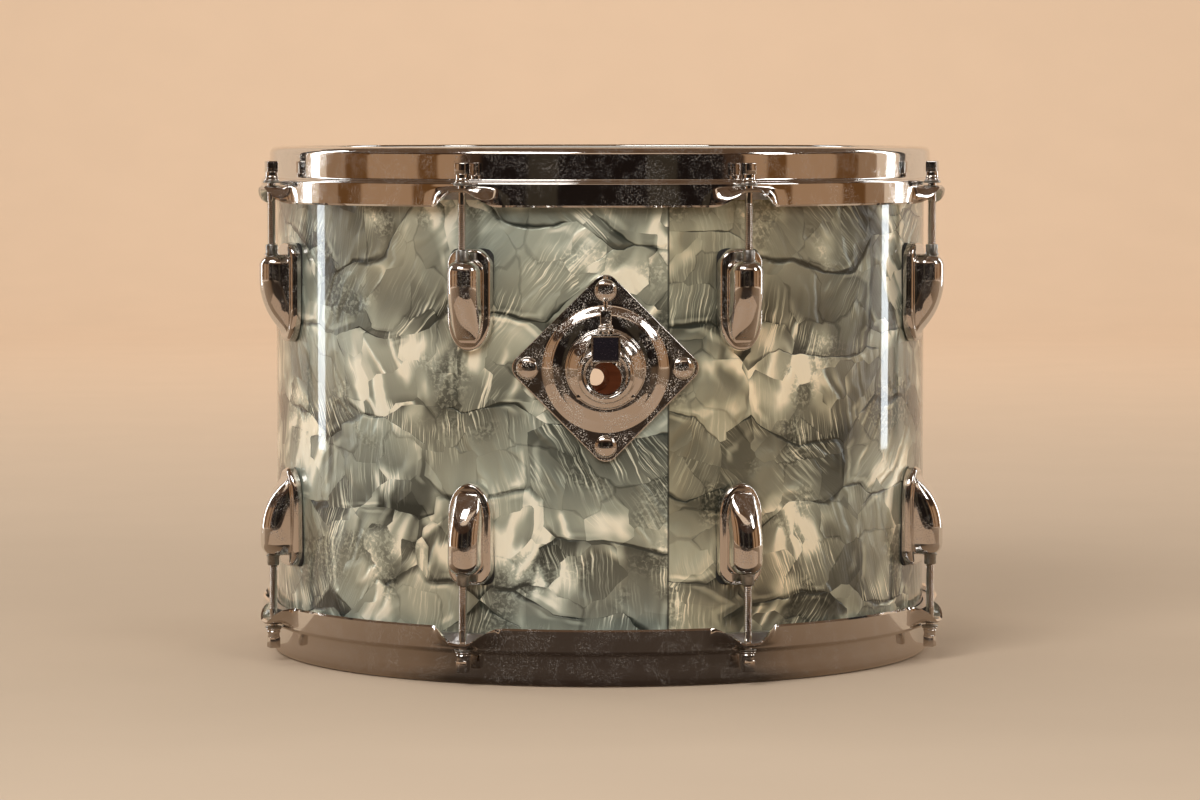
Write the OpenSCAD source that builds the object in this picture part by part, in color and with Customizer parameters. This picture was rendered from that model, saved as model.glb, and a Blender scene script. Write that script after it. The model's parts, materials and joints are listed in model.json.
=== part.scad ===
// Rack tom drum: a wrapped wooden cylinder with two heads, pressed hoops that carry
// stick-saver rims, single-ended lugs, key-operated tension rods and an arm socket.
// The drum's axis is Z, its bottom rim stands on z = 0 and the arm socket faces -Y.

/* [Drum body] */
// Outer diameter of the wrapped body
drum_d = 355.6; // [254:0.1:457.2]
// Length of the wooden cylinder between its two bearing edges
body_len = 254; // [200:1:400]
// Thickness of the wooden cylinder
ply_t = 5; // [4:0.5:8]
// Thickness of the pearl wrap
wrap_t = 0.8; // [0.5:0.1:1.5]
// Height of each inner reinforcing ring
ring_h = 38; // [25:1:50]
// Thickness of each inner reinforcing ring
ring_t = 5; // [3:0.5:7]

/* [Heads] */
// Thickness of the drum film
film_t = 0.3; // [0.25:0.05:0.5]
// Width of the flesh hoop that holds the film
flesh_w = 4.8; // [4:0.1:6]
// Height of the flesh hoop
flesh_h = 7; // [5:0.5:9]

/* [Hoops] */
// Height of the rim above the film
rim_h = 10.7; // [8:0.1:16]
// Height of the skirt that hangs outside the flesh hoop
skirt_h = 10.5; // [9:0.1:13]
// Thickness of the hoop's steel
hoop_t = 2.3; // [1.6:0.1:3]
// Width of the flat rim that is rolled inward at the top
rim_w = 12.5; // [8:0.5:15]
// Half width of each ear, measured along the hoop
ear_half = 18; // [14:0.5:24]

/* [Lugs and rods] */
// Number of lugs on each side
lug_count = 8; // [6:1:10]
// Gap between the rod's washer and the hoop's skirt
rod_gap = 0.2; // [0.1:0.1:2]
// Diameter of the rod's thread
rod_d = 4.8; // [4:0.1:6]
// Width of the rod's square head
key_w = 5.8; // [5.4:0.1:6.2]
// Length of a lug casing
lug_len = 52.7; // [46:0.1:60]
// Width of a lug's base
lug_w = 24; // [20:0.5:28]
// Distance from the bearing edge to the lug's rod end
lug_drop = 40.6; // [34:0.1:60]

/* [Arm mount] */
// Diameter of the arm that the socket takes
arm_d = 15.875; // [12.7:0.005:19.05]
// Half diagonal of the diamond plate
plate_half = 47.8; // [42:0.1:54]
// Thickness of the plate
plate_t = 2.2; // [1.5:0.1:3]
// Height of the plate's centre above the drum's middle
mount_rise = 25.7; // [0:0.1:50]
// Width and height of the clamp block
block_w = 12.8; // [10:0.1:14]

/* [Hidden] */
$fn = 96;

// Clearances
glue_gap = 0.02;    // between glued or bonded curved faces
seat_gap = 0.05;    // between a seated metal piece and the wrap
run_gap = 0.06;     // radial, rod in nut
hole_gap = 0.4;     // radial, fastener through a plain hole
slip_gap = 0.1;     // around pieces that drop into a pocket

// Body
wrap_r = drum_d / 2;
wood_r = wrap_r - wrap_t;
wood_ir = wood_r - ply_t;
edge_r = wood_r - 2.4;            // outer corner of the bearing edge's flat
edge_flat = 1;
top_h = body_len + 2 * rim_h;     // overall height
mid_z = top_h / 2;
film_z = rim_h + body_len;        // underside of the batter film
edge_drop = 6.2;                  // height of the outer bevel
wrap_stop = 8.7;                  // the wrap ends this far short of the edge

// Hoop, described for the batter side
film_r = wrap_r + 0.2;            // inside of the film's collar
film_edge = edge_r + 0.2;         // the flat film ends just past the bearing edge
flesh_ir = film_r + film_t + 0.1;
flesh_r = flesh_ir + flesh_w;
flesh_top = film_z - 8.8;
rim_ir = flesh_ir + 0.3;          // inside of the rim's wall
rim_r = rim_ir + hoop_t;
skirt_ir = flesh_r + 0.3;
skirt_r = skirt_ir + hoop_t;
shoulder_z = flesh_top + hoop_t;
skirt_z = shoulder_z - hoop_t - skirt_h + 0.3;
rim_corner = 4;

// Ear, rod and nut
rod_r = rod_d / 2;
washer_t = 1;
washer_r = rod_r + 2.1;
rod_at = skirt_r + rod_gap + washer_r;
ear_reach = 10;
ear_top = flesh_top + 0.3;
ear_root = 0.6;                   // the ear starts this far inside the skirt
collar_z = ear_top + washer_t + seat_gap;
collar_h = 5.2;
head_z = collar_z + collar_h;
head_h = 5.4;
lug_top = film_z - lug_drop;
lug_z = lug_top - lug_len;
nose_top = lug_top - 5.9;
nose_wall = 1.5;
base_t = 5.3;
gasket_t = 0.8;
lug_back = wrap_r + gasket_t + 2 * seat_gap;
nut_r = rod_r + 2;
nut_neck_r = rod_r + 0.85;
nose_w = 2 * (nut_r + 3.6);
nose_out = rod_at + nut_r + 2.1;
nut_len = 10.6;
nut_out = 5.2;
nut_bottom = nose_top - nose_wall - slip_gap - nut_len;
sleeve_h = 6.7;
pocket_z = nut_bottom - sleeve_h - 2 * slip_gap;
rod_end = pocket_z + 0.5;
lug_screw_r = 2.3;
lug_screw_top = lug_top - 3.6;
lug_screw_low = lug_screw_top - 38.1;
lug_screw_deep = 4.2;
screw_head_r = 4.2;
screw_head_h = 2.2;

// Mount: distances r are measured outward from the drum's axis
mount_z = mid_z + mount_rise;
plate_r = wrap_r + seat_gap + plate_t;
lip_z = mount_z - 2.9;
bore_r = arm_d / 2 + 0.11;
bore_z = lip_z - 1.8;
lip_ir = bore_r + 2.25;
lip_r = lip_ir + 2.9;
lip_depth = 1.6;
hub_r = lip_r + 7.6;
dome_r = hub_r + 11;
dome_out = wrap_r + 5.8;
hub_back = plate_r + glue_gap;
hub_out = wrap_r + 10.4;
lip_out = wrap_r + 13;
block_clear = 0.15;               // the block hangs this far clear of the arm
block_z = bore_z + bore_r + block_clear;
block_top = block_z + block_w;
block_in = wrap_r + 5;
block_deep = 7;
bridge_t = 1.8;
key_at = block_in + block_deep / 2;
key_r = 2.5;
key_collar_r = 4.7;
key_travel = 1.5;
key_collar_z = block_top + slip_gap + bridge_t + key_travel + 0.1;
key_collar_h = 3.4;
key_head_h = 7;
notch_half = key_collar_r + 0.8;
notch_floor = key_at - key_collar_r - 0.6;
notch_top = key_collar_z + key_collar_h + key_head_h + 1.5;
bolt_at = plate_half - 8;
bolt_r = 2.4;
bolt_head_r = 5.8;
bolt_head_h = 3.2;
bolt_turn = asin(bolt_at / plate_r);
nut_af_r = 4.6;
nut_h = 3.2;
arm_hole_r = bore_r + 4;

// Vent
vent_r = 5;
vent_wall = 0.8;
vent_flange_r = 8;
vent_t = 1;

pearl = [0.62, 0.63, 0.56];
chrome = [0.78, 0.76, 0.74];
wood_red = [0.35, 0.14, 0.08];
film_white = [0.93, 0.92, 0.88];

lug_ids = [for (i = [1 : lug_count]) i];
function side_names(stem) = [for (i = lug_ids) str(stem, i)];
function lug_turn(i) = (i - 0.5) * 360 / lug_count;

// ---- Placing ----

// Turns a piece about the drum's axis; 0 is the front
module turned(angle) rotate([0, 0, angle]) children();

// Puts a piece drawn for the batter side onto the resonant side
module resonant() translate([0, 0, top_h]) mirror([0, 0, 1]) children();

// Puts a piece on both sides
module both() {
    children();
    resonant() children();
}

// One copy at every lug of one side
module at_lugs() for (i = lug_ids) turned(lug_turn(i)) children();

// Local +Z points outward through the front at height z, local +Y points up
module outward(z) translate([0, 0, z]) rotate([90, 0, 0]) children();

// A cylinder that points outward at height z, from one radius to another
module outward_rod(r, z, from, to) outward(z) translate([0, 0, from]) cylinder(r = r, h = to - from);

// A vertical cylinder at the rod's place on the front
module rod_cylinder(r, from, to) translate([0, -rod_at, from]) cylinder(r = r, h = to - from);

// The solid tube between two radii
module tube(r_in, r_out, from, to) {
    translate([0, 0, from]) difference() {
        cylinder(r = r_out, h = to - from, $fn = 180);
        translate([0, 0, -1]) cylinder(r = r_in, h = to - from + 2, $fn = 180);
    }
}

// ---- Body ----

module wood_profile() {
    low = rim_h;
    high = film_z;
    inner = edge_r - edge_flat;
    slope = inner - wood_ir;
    polygon([
        [wood_ir, low + slope], [inner, low], [edge_r, low], [wood_r, low + edge_drop],
        [wood_r, high - edge_drop], [edge_r, high], [inner, high], [wood_ir, high - slope]
    ]);
}

module body_holes(gap) {
    at_lugs() both() {
        outward_rod(lug_screw_r + gap, lug_screw_top, wood_ir - 5, wrap_r + 5);
        outward_rod(lug_screw_r + gap, lug_screw_low, wood_ir - 5, wrap_r + 5);
    }
    outward_rod(arm_hole_r, bore_z, wood_ir - 5, wrap_r + 5);
    at_mount_bolts() translate([0, 0, wood_ir - 5]) cylinder(r = bolt_r + gap, h = ply_t + 15, $fn = 48);
    turned(180) outward_rod(vent_r + vent_wall + slip_gap, mid_z, wood_ir - 5, wrap_r + 5);
}

module drum_shell() color(wood_red) difference() {
    rotate_extrude($fn = 180) wood_profile();
    body_holes(hole_gap);
}

module pearl_wrap() color(pearl) difference() {
    tube(wood_r + glue_gap, wrap_r, rim_h + wrap_stop, film_z - wrap_stop);
    body_holes(hole_gap);
}

module inner_ring() {
    out = wood_ir - glue_gap;
    top = film_z - (edge_r - edge_flat - wood_ir);
    rotate_extrude($fn = 180) polygon([
        [out - ring_t, top - ring_h], [out, top - ring_h], [out, top], [out - ring_t, top - ring_t]
    ]);
}

module batter_ring() color(wood_red) inner_ring();
module resonant_ring() color(wood_red) resonant() inner_ring();

module vent_grommet() color(chrome) turned(180) outward(mid_z) {
    outside = wrap_r + seat_gap;
    inside = wood_ir - 0.25;
    difference() {
        union() {
            translate([0, 0, outside]) cylinder(r = vent_flange_r, h = vent_t);
            translate([0, 0, inside - vent_t]) cylinder(r = vent_flange_r, h = vent_t);
            translate([0, 0, inside - vent_t]) cylinder(r = vent_r + vent_wall, h = outside - inside + 2 * vent_t);
        }
        translate([0, 0, inside - 5]) cylinder(r = vent_r, h = ply_t + 20);
    }
}

// ---- Heads ----

// The film's flat playing surface
module film() translate([0, 0, film_z]) cylinder(r = film_edge, h = film_t, $fn = 180);

// The film's outer edge, which bends over the bearing edge and down into the flesh hoop
module film_collar() {
    low = flesh_top - flesh_h + 2;
    bend_z = film_z - edge_drop - 1.5;
    rotate_extrude($fn = 180) polygon([
        [film_edge, film_z], [film_r, bend_z], [film_r, low], [film_r + film_t, low],
        [film_r + film_t, bend_z + film_t / 4], [film_edge + film_t / 2, film_z + film_t],
        [film_edge, film_z + film_t]
    ]);
}

module batter_head() color(film_white) film();
module resonant_head() color(film_white) resonant() film();
module batter_head_collar() color(film_white) film_collar();
module resonant_head_collar() color(film_white) resonant() film_collar();

module flesh_hoop() tube(flesh_ir, flesh_r, flesh_top - flesh_h, flesh_top);

module batter_flesh_hoop() color([0.72, 0.72, 0.72]) flesh_hoop();
module resonant_flesh_hoop() color([0.72, 0.72, 0.72]) resonant() flesh_hoop();

// ---- Hoops ----

// Rounded outer corner of the rim, from the wall over to the flat top
function rim_arc() = [for (a = [0 : 15 : 90])
    [rim_r - rim_corner + rim_corner * cos(a), top_h - rim_corner + rim_corner * sin(a)]];

module hoop_profile() {
    polygon(concat(
        [[skirt_r, skirt_z], [skirt_r, shoulder_z - 1], [skirt_r - 1, shoulder_z], [rim_r, shoulder_z]],
        rim_arc(),
        [[rim_r - rim_w, top_h], [rim_r - rim_w, top_h - hoop_t], [rim_ir - 1, top_h - hoop_t],
         [rim_ir, top_h - hoop_t - 1], [rim_ir, flesh_top], [skirt_ir, flesh_top], [skirt_ir, skirt_z]]
    ));
}

// Bell curve of the ear: 1 at the rod, 0 at its two ends
function bell(x) = (1 + cos(180 * x / ear_half)) / 2;
bell_xs = [for (k = [-12 : 12]) k * ear_half / 12];

// The ear is the skirt turned out flat round the rod
module ear() {
    root = skirt_ir + ear_root - ear_half * ear_half / (2 * skirt_r);
    translate([0, 0, ear_top - hoop_t + 0.2]) linear_extrude(height = hoop_t - 0.2) polygon(concat(
        [for (x = bell_xs) [x, -(skirt_r - x * x / (2 * skirt_r) - 0.4 + ear_reach * bell(x))]],
        [[ear_half, -root], [-ear_half, -root]]
    ));
}

// What the ear takes away from the skirt's lower edge
module ear_cut() {
    rise = ear_top - hoop_t - skirt_z;
    translate([0, -skirt_ir + 5, 0]) rotate([90, 0, 0]) linear_extrude(height = 20) polygon(concat(
        [for (x = bell_xs) [x, skirt_z + rise * bell(x)]],
        [[ear_half, skirt_z - 1], [-ear_half, skirt_z - 1]]
    ));
}

module hoop() {
    difference() {
        union() {
            difference() {
                rotate_extrude($fn = 180) hoop_profile();
                at_lugs() ear_cut();
            }
            at_lugs() difference() {
                ear();
                cylinder(r = skirt_ir, h = top_h, $fn = 180);
            }
        }
        at_lugs() rod_cylinder(rod_r + hole_gap, ear_top - 10, ear_top + 1);
    }
}

module washers() at_lugs() difference() {
    rod_cylinder(washer_r, ear_top, ear_top + washer_t);
    rod_cylinder(rod_r + 0.2, ear_top - 1, ear_top + washer_t + 1);
}

module batter_hoop() color(chrome) hoop();
module resonant_hoop() color(chrome) resonant() hoop();
module batter_washers() color(chrome) washers();
module resonant_washers() color(chrome) resonant() washers();

// ---- Lugs ----

// Half width of the base's outline at share t of its length, from the tip to the rod end
function base_half(t) =
    let (corner = 5, left = lug_len * (1 - t))
    t < 0.7 ? lug_w / 2 * pow(sin(90 * t / 0.7), 0.75)
    : left > corner ? lug_w / 2
    : lug_w / 2 - corner + sqrt(max(0, corner * corner - pow(corner - left, 2)));

// Half width and outward reach of the nose, from its tip to its blunt end
function nose_half(t) = nose_w / 2 * pow(sin(90 * min(1, t / 0.6)), 0.7);
function nose_reach(t) = (nose_out - lug_back) * pow(sin(90 * min(1, t / 0.75)), 0.8);

steps = 24;
shares = [for (k = [0 : steps]) k / steps];
base_shares = [for (k = [0 : steps]) k < 12 ? k / 14 : 0.857 + (k - 12) * 0.143 / 12];

module base_outline() polygon(concat(
    [for (t = base_shares) [base_half(t), lug_z + t * lug_len]],
    [for (k = [steps : -1 : 1]) [-base_half(base_shares[k]), lug_z + base_shares[k] * lug_len]]
));

nose_len = nose_top - lug_z - 1.5;
function nose_at(t) = lug_z + 1.5 + t * nose_len;

module nose() intersection() {
    // seen from the front
    outward(0) translate([0, 0, lug_back - 2]) linear_extrude(height = 30) polygon(concat(
        [for (t = shares) [nose_half(t), nose_at(t)]],
        [for (k = [steps : -1 : 1]) [-nose_half(shares[k]), nose_at(shares[k])]]
    ));
    // seen from the side
    rotate([90, 0, -90]) translate([0, 0, -20]) linear_extrude(height = 40) polygon(concat(
        [for (t = shares) [lug_back + 1 + nose_reach(t) - (t > 0.99 ? 2 : 1), nose_at(t)]],
        [[lug_back - 2, nose_top], [lug_back - 2, nose_at(0)]]
    ));
    // seen from the rod end
    union() {
        translate([0, -(nose_out - nose_w / 2), 0]) cylinder(r = nose_w / 2, h = top_h);
        translate([-nose_w / 2, -(nose_out - nose_w / 2), 0]) cube([nose_w, 30, top_h]);
    }
}

module lug() color(chrome) difference() {
    union() {
        outward(0) translate([0, 0, lug_back - 2]) linear_extrude(height = base_t + 2) base_outline();
        nose();
    }
    cylinder(r = lug_back, h = top_h, $fn = 180);
    // pocket for the nut and its sleeve, open towards the drum
    rod_cylinder(nut_r + slip_gap, pocket_z, nose_top - nose_wall);
    translate([-nut_r - slip_gap, -rod_at, pocket_z])
        cube([2 * (nut_r + slip_gap), rod_at - wrap_r, nose_top - nose_wall - pocket_z]);
    rod_cylinder(nut_neck_r + slip_gap, nose_top - nose_wall - 1, nose_top + 1);
    outward_rod(lug_screw_r + slip_gap, lug_screw_top, lug_back - 5, lug_back + lug_screw_deep);
    outward_rod(lug_screw_r + slip_gap, lug_screw_low, lug_back - 5, lug_back + lug_screw_deep);
}

module lug_gaskets() color([0.08, 0.08, 0.08]) at_lugs() both() difference() {
    intersection() {
        outward(0) translate([0, 0, wrap_r - 3]) linear_extrude(height = 8) base_outline();
        tube(wrap_r + seat_gap, wrap_r + seat_gap + gasket_t, lug_z - 1, lug_top + 1);
    }
    outward_rod(lug_screw_r + hole_gap, lug_screw_top, wood_ir, lug_back + 2);
    outward_rod(lug_screw_r + hole_gap, lug_screw_low, wood_ir, lug_back + 2);
}

module lug_screw(z) outward(z) {
    translate([0, 0, wood_ir - 0.1 - screw_head_h]) cylinder(r = screw_head_r, h = screw_head_h, $fn = 6);
    translate([0, 0, wood_ir - 0.2]) cylinder(r = lug_screw_r, h = lug_back + lug_screw_deep - 0.3 - wood_ir);
}

module lug_screws() color([0.6, 0.6, 0.6]) at_lugs() both() {
    lug_screw(lug_screw_top);
    lug_screw(lug_screw_low);
}

module swivel_nuts() color(chrome) at_lugs() both() difference() {
    union() {
        rod_cylinder(nut_r, nut_bottom, nut_bottom + nut_len);
        rod_cylinder(nut_neck_r, nut_bottom, nose_top + nut_out);
    }
    rod_cylinder(rod_r + run_gap, nut_bottom - 1, nose_top + nut_out + 1);
}

// Nylon sleeves that keep the nuts up and stop them rattling
module nut_sleeves() color([0.9, 0.9, 0.86]) at_lugs() both() difference() {
    rod_cylinder(nut_r, pocket_z + slip_gap, pocket_z + slip_gap + sleeve_h);
    rod_cylinder(rod_r + 0.2, pocket_z - 1, pocket_z + sleeve_h + 1);
}

module tension_rod() color(chrome) {
    rod_cylinder(rod_r, rod_end, collar_z + 1);
    rod_cylinder(washer_r - 0.4, collar_z, collar_z + 1.4);
    rod_cylinder(3.6, collar_z, collar_z + collar_h);
    translate([-key_w / 2, -rod_at - key_w / 2, head_z - 0.1]) cube([key_w, key_w, head_h + 0.1]);
}

// ---- Arm mount ----

module at_mount_bolts() {
    for (a = [-1, 1]) turned(a * bolt_turn) outward(mount_z) children();
    for (s = [-1, 1]) outward(mount_z + s * bolt_at) children();
}

module diamond(half, corner) {
    side = sqrt(2) * (half - corner) + 2 * corner;
    flat = side - 2 * corner;
    rotate([0, 0, 45]) {
        square([side, flat], center = true);
        square([flat, side], center = true);
        for (x = [-1, 1]) for (y = [-1, 1]) translate([x * flat / 2, y * flat / 2]) circle(r = corner);
    }
}

module screw_notch() translate([-notch_half, -lip_out - 1, block_top + slip_gap + bridge_t])
    cube([2 * notch_half, lip_out + 1 - notch_floor, notch_top - block_top - slip_gap - bridge_t]);

module mount_plate() color(chrome) difference() {
    union() {
        intersection() {
            outward(mount_z) translate([0, 0, wrap_r - 12]) linear_extrude(height = 20) diamond(plate_half, 7);
            tube(wrap_r + seat_gap, plate_r, mount_z - 60, mount_z + 60);
        }
        difference() {
            outward(mount_z) rotate_extrude() polygon([
                [hub_r + slip_gap, plate_r - 4], [dome_r, plate_r - 4], [dome_r, dome_out - 4],
                [dome_r - 2, dome_out - 1.5], [hub_r + 5, dome_out], [hub_r + slip_gap, dome_out]
            ]);
            cylinder(r = plate_r - plate_t / 2, h = top_h, $fn = 180);
        }
    }
    outward_rod(arm_hole_r, bore_z, wrap_r - 5, wrap_r + 10);
    at_mount_bolts() translate([0, 0, wrap_r - 5]) cylinder(r = bolt_r + hole_gap, h = 15, $fn = 48);
    screw_notch();
}

module mount_socket() color(chrome) difference() {
    union() {
        outward(mount_z) translate([0, 0, hub_back - 1]) rotate_extrude() polygon([
            [0, 0], [hub_r, 0], [hub_r, dome_out - hub_back], [hub_r - 2, hub_out - hub_back - 1],
            [hub_r - 5, hub_out - hub_back + 1], [0, hub_out - hub_back + 1]
        ]);
        outward_rod(lip_r, lip_z, hub_back, lip_out);
    }
    cylinder(r = hub_back, h = top_h, $fn = 180);
    outward_rod(bore_r, bore_z, wrap_r - 5, lip_out + 1);
    outward_rod(lip_ir, lip_z, lip_out - lip_depth, lip_out + 1);
    // slot for the clamp block, open at the front and into the bore
    translate([-block_w / 2 - slip_gap, -lip_out - 1, bore_z])
        cube([block_w + 2 * slip_gap, lip_out + 1 - block_in + slip_gap, block_top + slip_gap - bore_z]);
    translate([0, -key_at, block_top - 1]) cylinder(r = key_r + run_gap, h = 20, $fn = 48);
    screw_notch();
}

module mount_screws() color(chrome) at_mount_bolts() {
    seat = plate_r + seat_gap;
    translate([0, 0, seat]) intersection() {
        cylinder(r = bolt_head_r, h = bolt_head_h);
        translate([0, 0, bolt_head_h - 7.5]) sphere(r = 7.5);
    }
    translate([0, 0, wood_ir - nut_h - 1.5]) cylinder(r = bolt_r, h = seat - wood_ir + nut_h + 2, $fn = 48);
}

module mount_nuts() color([0.7, 0.7, 0.7]) at_mount_bolts() translate([0, 0, wood_ir - 0.1 - nut_h]) difference() {
    cylinder(r = nut_af_r, h = nut_h, $fn = 6);
    translate([0, 0, -1]) cylinder(r = bolt_r + run_gap, h = nut_h + 2, $fn = 48);
}

module clamp_block() color([0.12, 0.1, 0.12])
    translate([-block_w / 2, -block_in - block_deep, block_z]) cube([block_w, block_deep, block_w]);

module key_screw() color(chrome) translate([0, -key_at, 0]) {
    translate([0, 0, block_top]) cylinder(r = key_r, h = key_collar_z - block_top + 1, $fn = 48);
    translate([0, 0, key_collar_z]) cylinder(r = key_collar_r, h = key_collar_h);
    translate([-key_w / 2, -key_w / 2, key_collar_z + key_collar_h - 0.1]) cube([key_w, key_w, key_head_h + 0.1]);
}

// ---- Nodes ----

drum_shell();
pearl_wrap();
batter_ring();
resonant_ring();
vent_grommet();
batter_head();
resonant_head();
batter_head_collar();
resonant_head_collar();
batter_flesh_hoop();
resonant_flesh_hoop();
batter_hoop();
resonant_hoop();
batter_washers();
resonant_washers();
for (i = lug_ids) {
    turned(lug_turn(i)) lug();
    resonant() turned(lug_turn(i)) lug();
    turned(lug_turn(i)) tension_rod();
    resonant() turned(lug_turn(i)) tension_rod();
}
lug_gaskets();
lug_screws();
swivel_nuts();
nut_sleeves();
mount_plate();
mount_socket();
mount_screws();
mount_nuts();
clamp_block();
key_screw();
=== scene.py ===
"""Rack tom drum: the finish of every piece, modelled round the drum's measured frame."""

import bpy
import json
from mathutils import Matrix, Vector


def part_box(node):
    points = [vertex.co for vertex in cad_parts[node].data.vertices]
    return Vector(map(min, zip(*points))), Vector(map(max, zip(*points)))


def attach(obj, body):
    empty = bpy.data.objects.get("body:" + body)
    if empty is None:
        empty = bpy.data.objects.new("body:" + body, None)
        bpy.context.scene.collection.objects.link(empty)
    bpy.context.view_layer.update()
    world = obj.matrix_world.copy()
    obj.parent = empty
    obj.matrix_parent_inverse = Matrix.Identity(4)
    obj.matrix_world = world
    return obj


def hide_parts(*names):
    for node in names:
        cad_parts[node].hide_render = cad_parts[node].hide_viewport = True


bl_info = {
    "name": "Rack Tom Drum",
    "version": (1, 0, 0),
    "blender": (4, 5, 0),
    "location": "View3D > Sidebar > Tom",
    "description": "Models a pearl-wrapped rack tom with chromed hoops, lugs, rods and arm mount",
    "category": "Object",
}

import json
import math

import bpy
from mathutils import Matrix, Vector

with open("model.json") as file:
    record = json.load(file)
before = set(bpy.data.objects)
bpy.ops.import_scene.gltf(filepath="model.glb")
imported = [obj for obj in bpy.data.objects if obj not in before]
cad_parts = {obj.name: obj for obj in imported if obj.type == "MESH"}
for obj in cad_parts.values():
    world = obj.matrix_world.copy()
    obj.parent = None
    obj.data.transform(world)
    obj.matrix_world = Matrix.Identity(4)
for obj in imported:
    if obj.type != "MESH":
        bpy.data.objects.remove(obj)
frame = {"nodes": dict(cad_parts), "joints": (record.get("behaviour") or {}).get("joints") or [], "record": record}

MM = 0.001
BORE_CUT = 30
JOINTS = {joint["name"]: joint for joint in frame["joints"]}
SIDES = ("batter", "resonant")


def middle(node):
    """Centre of a frame node's box, in millimetres."""
    low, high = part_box(node)
    return (low + high) / 2 / MM


def span(node, axis):
    """Lowest and highest value of a frame node along an axis, in millimetres."""
    low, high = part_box(node)
    return low[axis] / MM, high[axis] / MM


# Places and sizes that the frame gives, in millimetres
BODY_R = span("pearl_wrap", 0)[1]
HEIGHT = span("batter_hoop", 2)[1]
WRAP_Z = span("pearl_wrap", 2)
SKIRT_Z = span("batter_hoop", 2)[0]
SKIRT_R = span("batter_hoop", 0)[1]
FILM_Z = span("batter_head", 2)[0]
FLESH_TOP = span("batter_flesh_hoop", 2)[1]
LUG_Z = span("lug_batter_1", 2)
WASHER_Z = span("batter_washers", 2)
ROD_Z = span("tension_rod_batter_1", 2)
NUT_TOP = span("swivel_nuts", 2)[1]
ROD_R = math.hypot(*JOINTS["rod_batter_1_turn"]["pos_m"][:2]) / MM
MOUNT_Z = middle("mount_plate")[2]
PLATE_HALF = (span("mount_plate", 2)[1] - span("mount_plate", 2)[0]) / 2
BLOCK = (span("clamp_block", 1), span("clamp_block", 2))
KEY_AT = -JOINTS["clamp_key_turn"]["pos_m"][1] / MM
KEY_Z = span("key_screw", 2)
BORE = next(m for m in frame["record"]["mounts"] if m["name"] == "arm_socket")
BORE_Z = BORE["pos_m"][2] / MM
BORE_R = BORE["dims"]["r_mm"]
LUG_COUNT = sum(1 for name in frame["nodes"] if name.startswith("lug_batter_"))

# The resonant side is the batter side turned over the drum's middle
TURNED_OVER = Matrix.Translation((0, 0, HEIGHT * MM)) @ Matrix.Diagonal((1, 1, -1, 1))
# Local +Z points out of the drum's front and local +Y points up
OUT_OF_FRONT = Matrix.Rotation(math.pi / 2, 4, "X")


class TomSizes(bpy.types.PropertyGroup):
    ear_flat: bpy.props.FloatProperty(
        name="Ear flat", description="Half the length of an ear's level edge in millimetres",
        default=4.6, min=3.0, max=8.0)
    ear_slant: bpy.props.FloatProperty(
        name="Ear slant", description="Length of the slanted edge beside an ear in millimetres",
        default=12.6, min=6.0, max=20.0)
    steel: bpy.props.FloatProperty(
        name="Hoop steel", description="Thickness of the hoop's steel in millimetres",
        default=2.0, min=1.2, max=2.3)
    thread_pitch: bpy.props.FloatProperty(
        name="Thread pitch", description="Pitch of the tension rods in millimetres", default=25.4 / 24)
    thread_depth: bpy.props.FloatProperty(
        name="Thread depth", description="Depth of the tension rods' thread in millimetres", default=0.6)
    nose_width: bpy.props.FloatProperty(
        name="Nose width", description="Width of a lug's nose in millimetres", default=17.6)
    seam_angle: bpy.props.FloatProperty(
        name="Seam angle", description="Where the wrap's lapped seam stands, from the front",
        default=math.radians(10.4), subtype="ANGLE")


class TomColours(bpy.types.PropertyGroup):
    pearl_dark: bpy.props.FloatVectorProperty(
        name="Pearl dark", description="Colour deep in the wrap's creases", subtype="COLOR", size=3,
        default=(0.030, 0.036, 0.030))
    pearl_mid: bpy.props.FloatVectorProperty(
        name="Pearl middle", description="Grey-green body of the wrap", subtype="COLOR", size=3,
        default=(0.285, 0.30, 0.25))
    pearl_light: bpy.props.FloatVectorProperty(
        name="Pearl light", description="Cream glints in the wrap", subtype="COLOR", size=3,
        default=(0.98, 0.94, 0.80))
    chrome: bpy.props.FloatVectorProperty(
        name="Chrome", description="Colour of the chrome plate", subtype="COLOR", size=3,
        default=(0.80, 0.77, 0.74))
    film: bpy.props.FloatVectorProperty(
        name="Film", description="Colour of the coated heads", subtype="COLOR", size=3,
        default=(0.80, 0.78, 0.73))
    wood: bpy.props.FloatVectorProperty(
        name="Wood", description="Colour of the plywood inside", subtype="COLOR", size=3,
        default=(0.22, 0.07, 0.028))
    backdrop: bpy.props.FloatVectorProperty(
        name="Backdrop", description="Colour of the wall behind the drum", subtype="COLOR", size=3,
        default=(0.67, 0.49, 0.345))
    floor: bpy.props.FloatVectorProperty(
        name="Floor", description="Colour of the floor", subtype="COLOR", size=3,
        default=(0.56, 0.44, 0.33))


# ---- Modelling helpers ----

MERGE_WITHIN = 2e-6
DISSOLVE_UNDER = 1e-6


def deselect():
    if bpy.context.object and bpy.context.object.mode != "OBJECT":
        bpy.ops.object.mode_set(mode="OBJECT")
    bpy.ops.object.select_all(action="DESELECT")


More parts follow.
